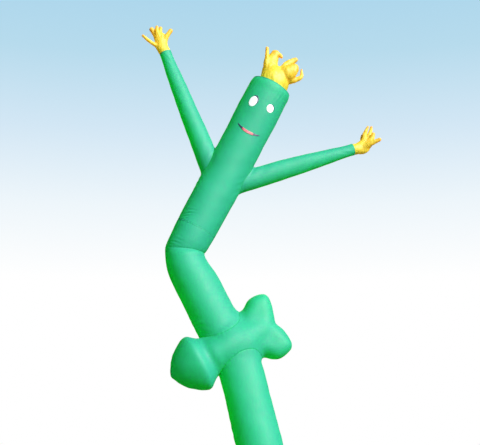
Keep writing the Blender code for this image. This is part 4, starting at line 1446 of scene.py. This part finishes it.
def sky():
    """The photograph's pale sky behind, and the soft light that the sky and haze give."""
    world = bpy.data.worlds.new("sky")
    bpy.context.scene.world = world
    world.use_nodes = True
    nodes = Nodes(world.node_tree)
    way = nodes.add("ShaderNodeTexCoord").outputs["Generated"]
    rise = nodes.add("ShaderNodeSeparateXYZ", {"Vector": way}).outputs["Z"]
    seen = nodes.ramp(rise, [(at, srgb(*colour)) for at, colour in SKY_SEEN])
    given = nodes.ramp(nodes.spread(rise, -1.0, 1.0, 0.0, 1.0),
                       [(at, colour + (1.0,)) for at, colour in SKY_LIGHT])
    look = nodes.add("ShaderNodeBackground", {"Color": seen, "Strength": 1.0})
    light = nodes.add("ShaderNodeBackground", {"Color": given, "Strength": SKY_STRENGTH})
    nodes.add("ShaderNodeOutputWorld", {"Surface": nodes.seen_or_met(look, light)})


FLOOR_RADIUS, FLOOR_SIDES, FLOOR_HEIGHT = 13.0, 96, -0.001
FLOOR_COLOUR = (0.70, 0.51, 0.46)
FLOOR_BOUNCE = (0.07, 0.08, 0.07, 1.0)      # little of its light reaches the dancer


def lay_floor():
    """A plain pale round floor that the dancer's open end stands on."""
    points = [(0.0, 0.0, FLOOR_HEIGHT)]
    for k in range(FLOOR_SIDES):
        turn = math.tau * k / FLOOR_SIDES
        points.append((FLOOR_RADIUS * math.cos(turn), FLOOR_RADIUS * math.sin(turn), FLOOR_HEIGHT))
    faces = [(0, 1 + k, 1 + (k + 1) % FLOOR_SIDES) for k in range(FLOOR_SIDES)]
    floor = mesh_object("floor", points, faces)
    made, nodes = material("floor")
    grain = nodes.noise(nodes.add("ShaderNodeTexCoord").outputs["Object"], 3.0)
    tone = nodes.scaled(FLOOR_COLOUR, nodes.spread(grain, *MIDDLE, 0.97, 1.03))
    seen = nodes.add("ShaderNodeBsdfPrincipled", {"Base Color": tone, "Roughness": 0.85})
    dull = nodes.add("ShaderNodeBsdfDiffuse", {"Color": FLOOR_BOUNCE})
    nodes.add("ShaderNodeOutputMaterial", {"Surface": nodes.seen_or_met(seen, dull)})
    floor.data.materials.append(made)


def sun(name, towards, strength, colour, spread):
    """A distant soft light that shines from the given side."""
    data = bpy.data.lights.new(name, "SUN")
    data.energy = strength
    data.color = colour
    data.angle = math.radians(spread)
    lamp = bpy.data.objects.new(name, data)
    lamp.rotation_euler = Vector(towards).to_track_quat("Z", "Y").to_euler()
    bpy.context.scene.collection.objects.link(lamp)


def camera():
    data = bpy.data.cameras.new("photo")
    data.lens = 67.5
    seen = bpy.data.objects.new("photo", data)
    seen.location = (-0.433, -9.40, 2.40)
    seen.rotation_euler = (math.radians(100.5), 0.0, 0.0)
    bpy.context.scene.collection.objects.link(seen)
    bpy.context.scene.camera = seen
    bpy.context.scene.view_settings.view_transform = "Standard"


lay_floor()
sky()
sun("key", (0.613, -0.635, 0.469), 8.3, (1.00, 1.00, 0.98), 20)
sun("sky_fill", (0.150, -0.850, 0.500), 1.2, (0.35, 0.85, 0.90), 20)
sun("back", (0.100, 0.860, 0.500), 1.5, (1.00, 0.98, 0.94), 40)
camera()
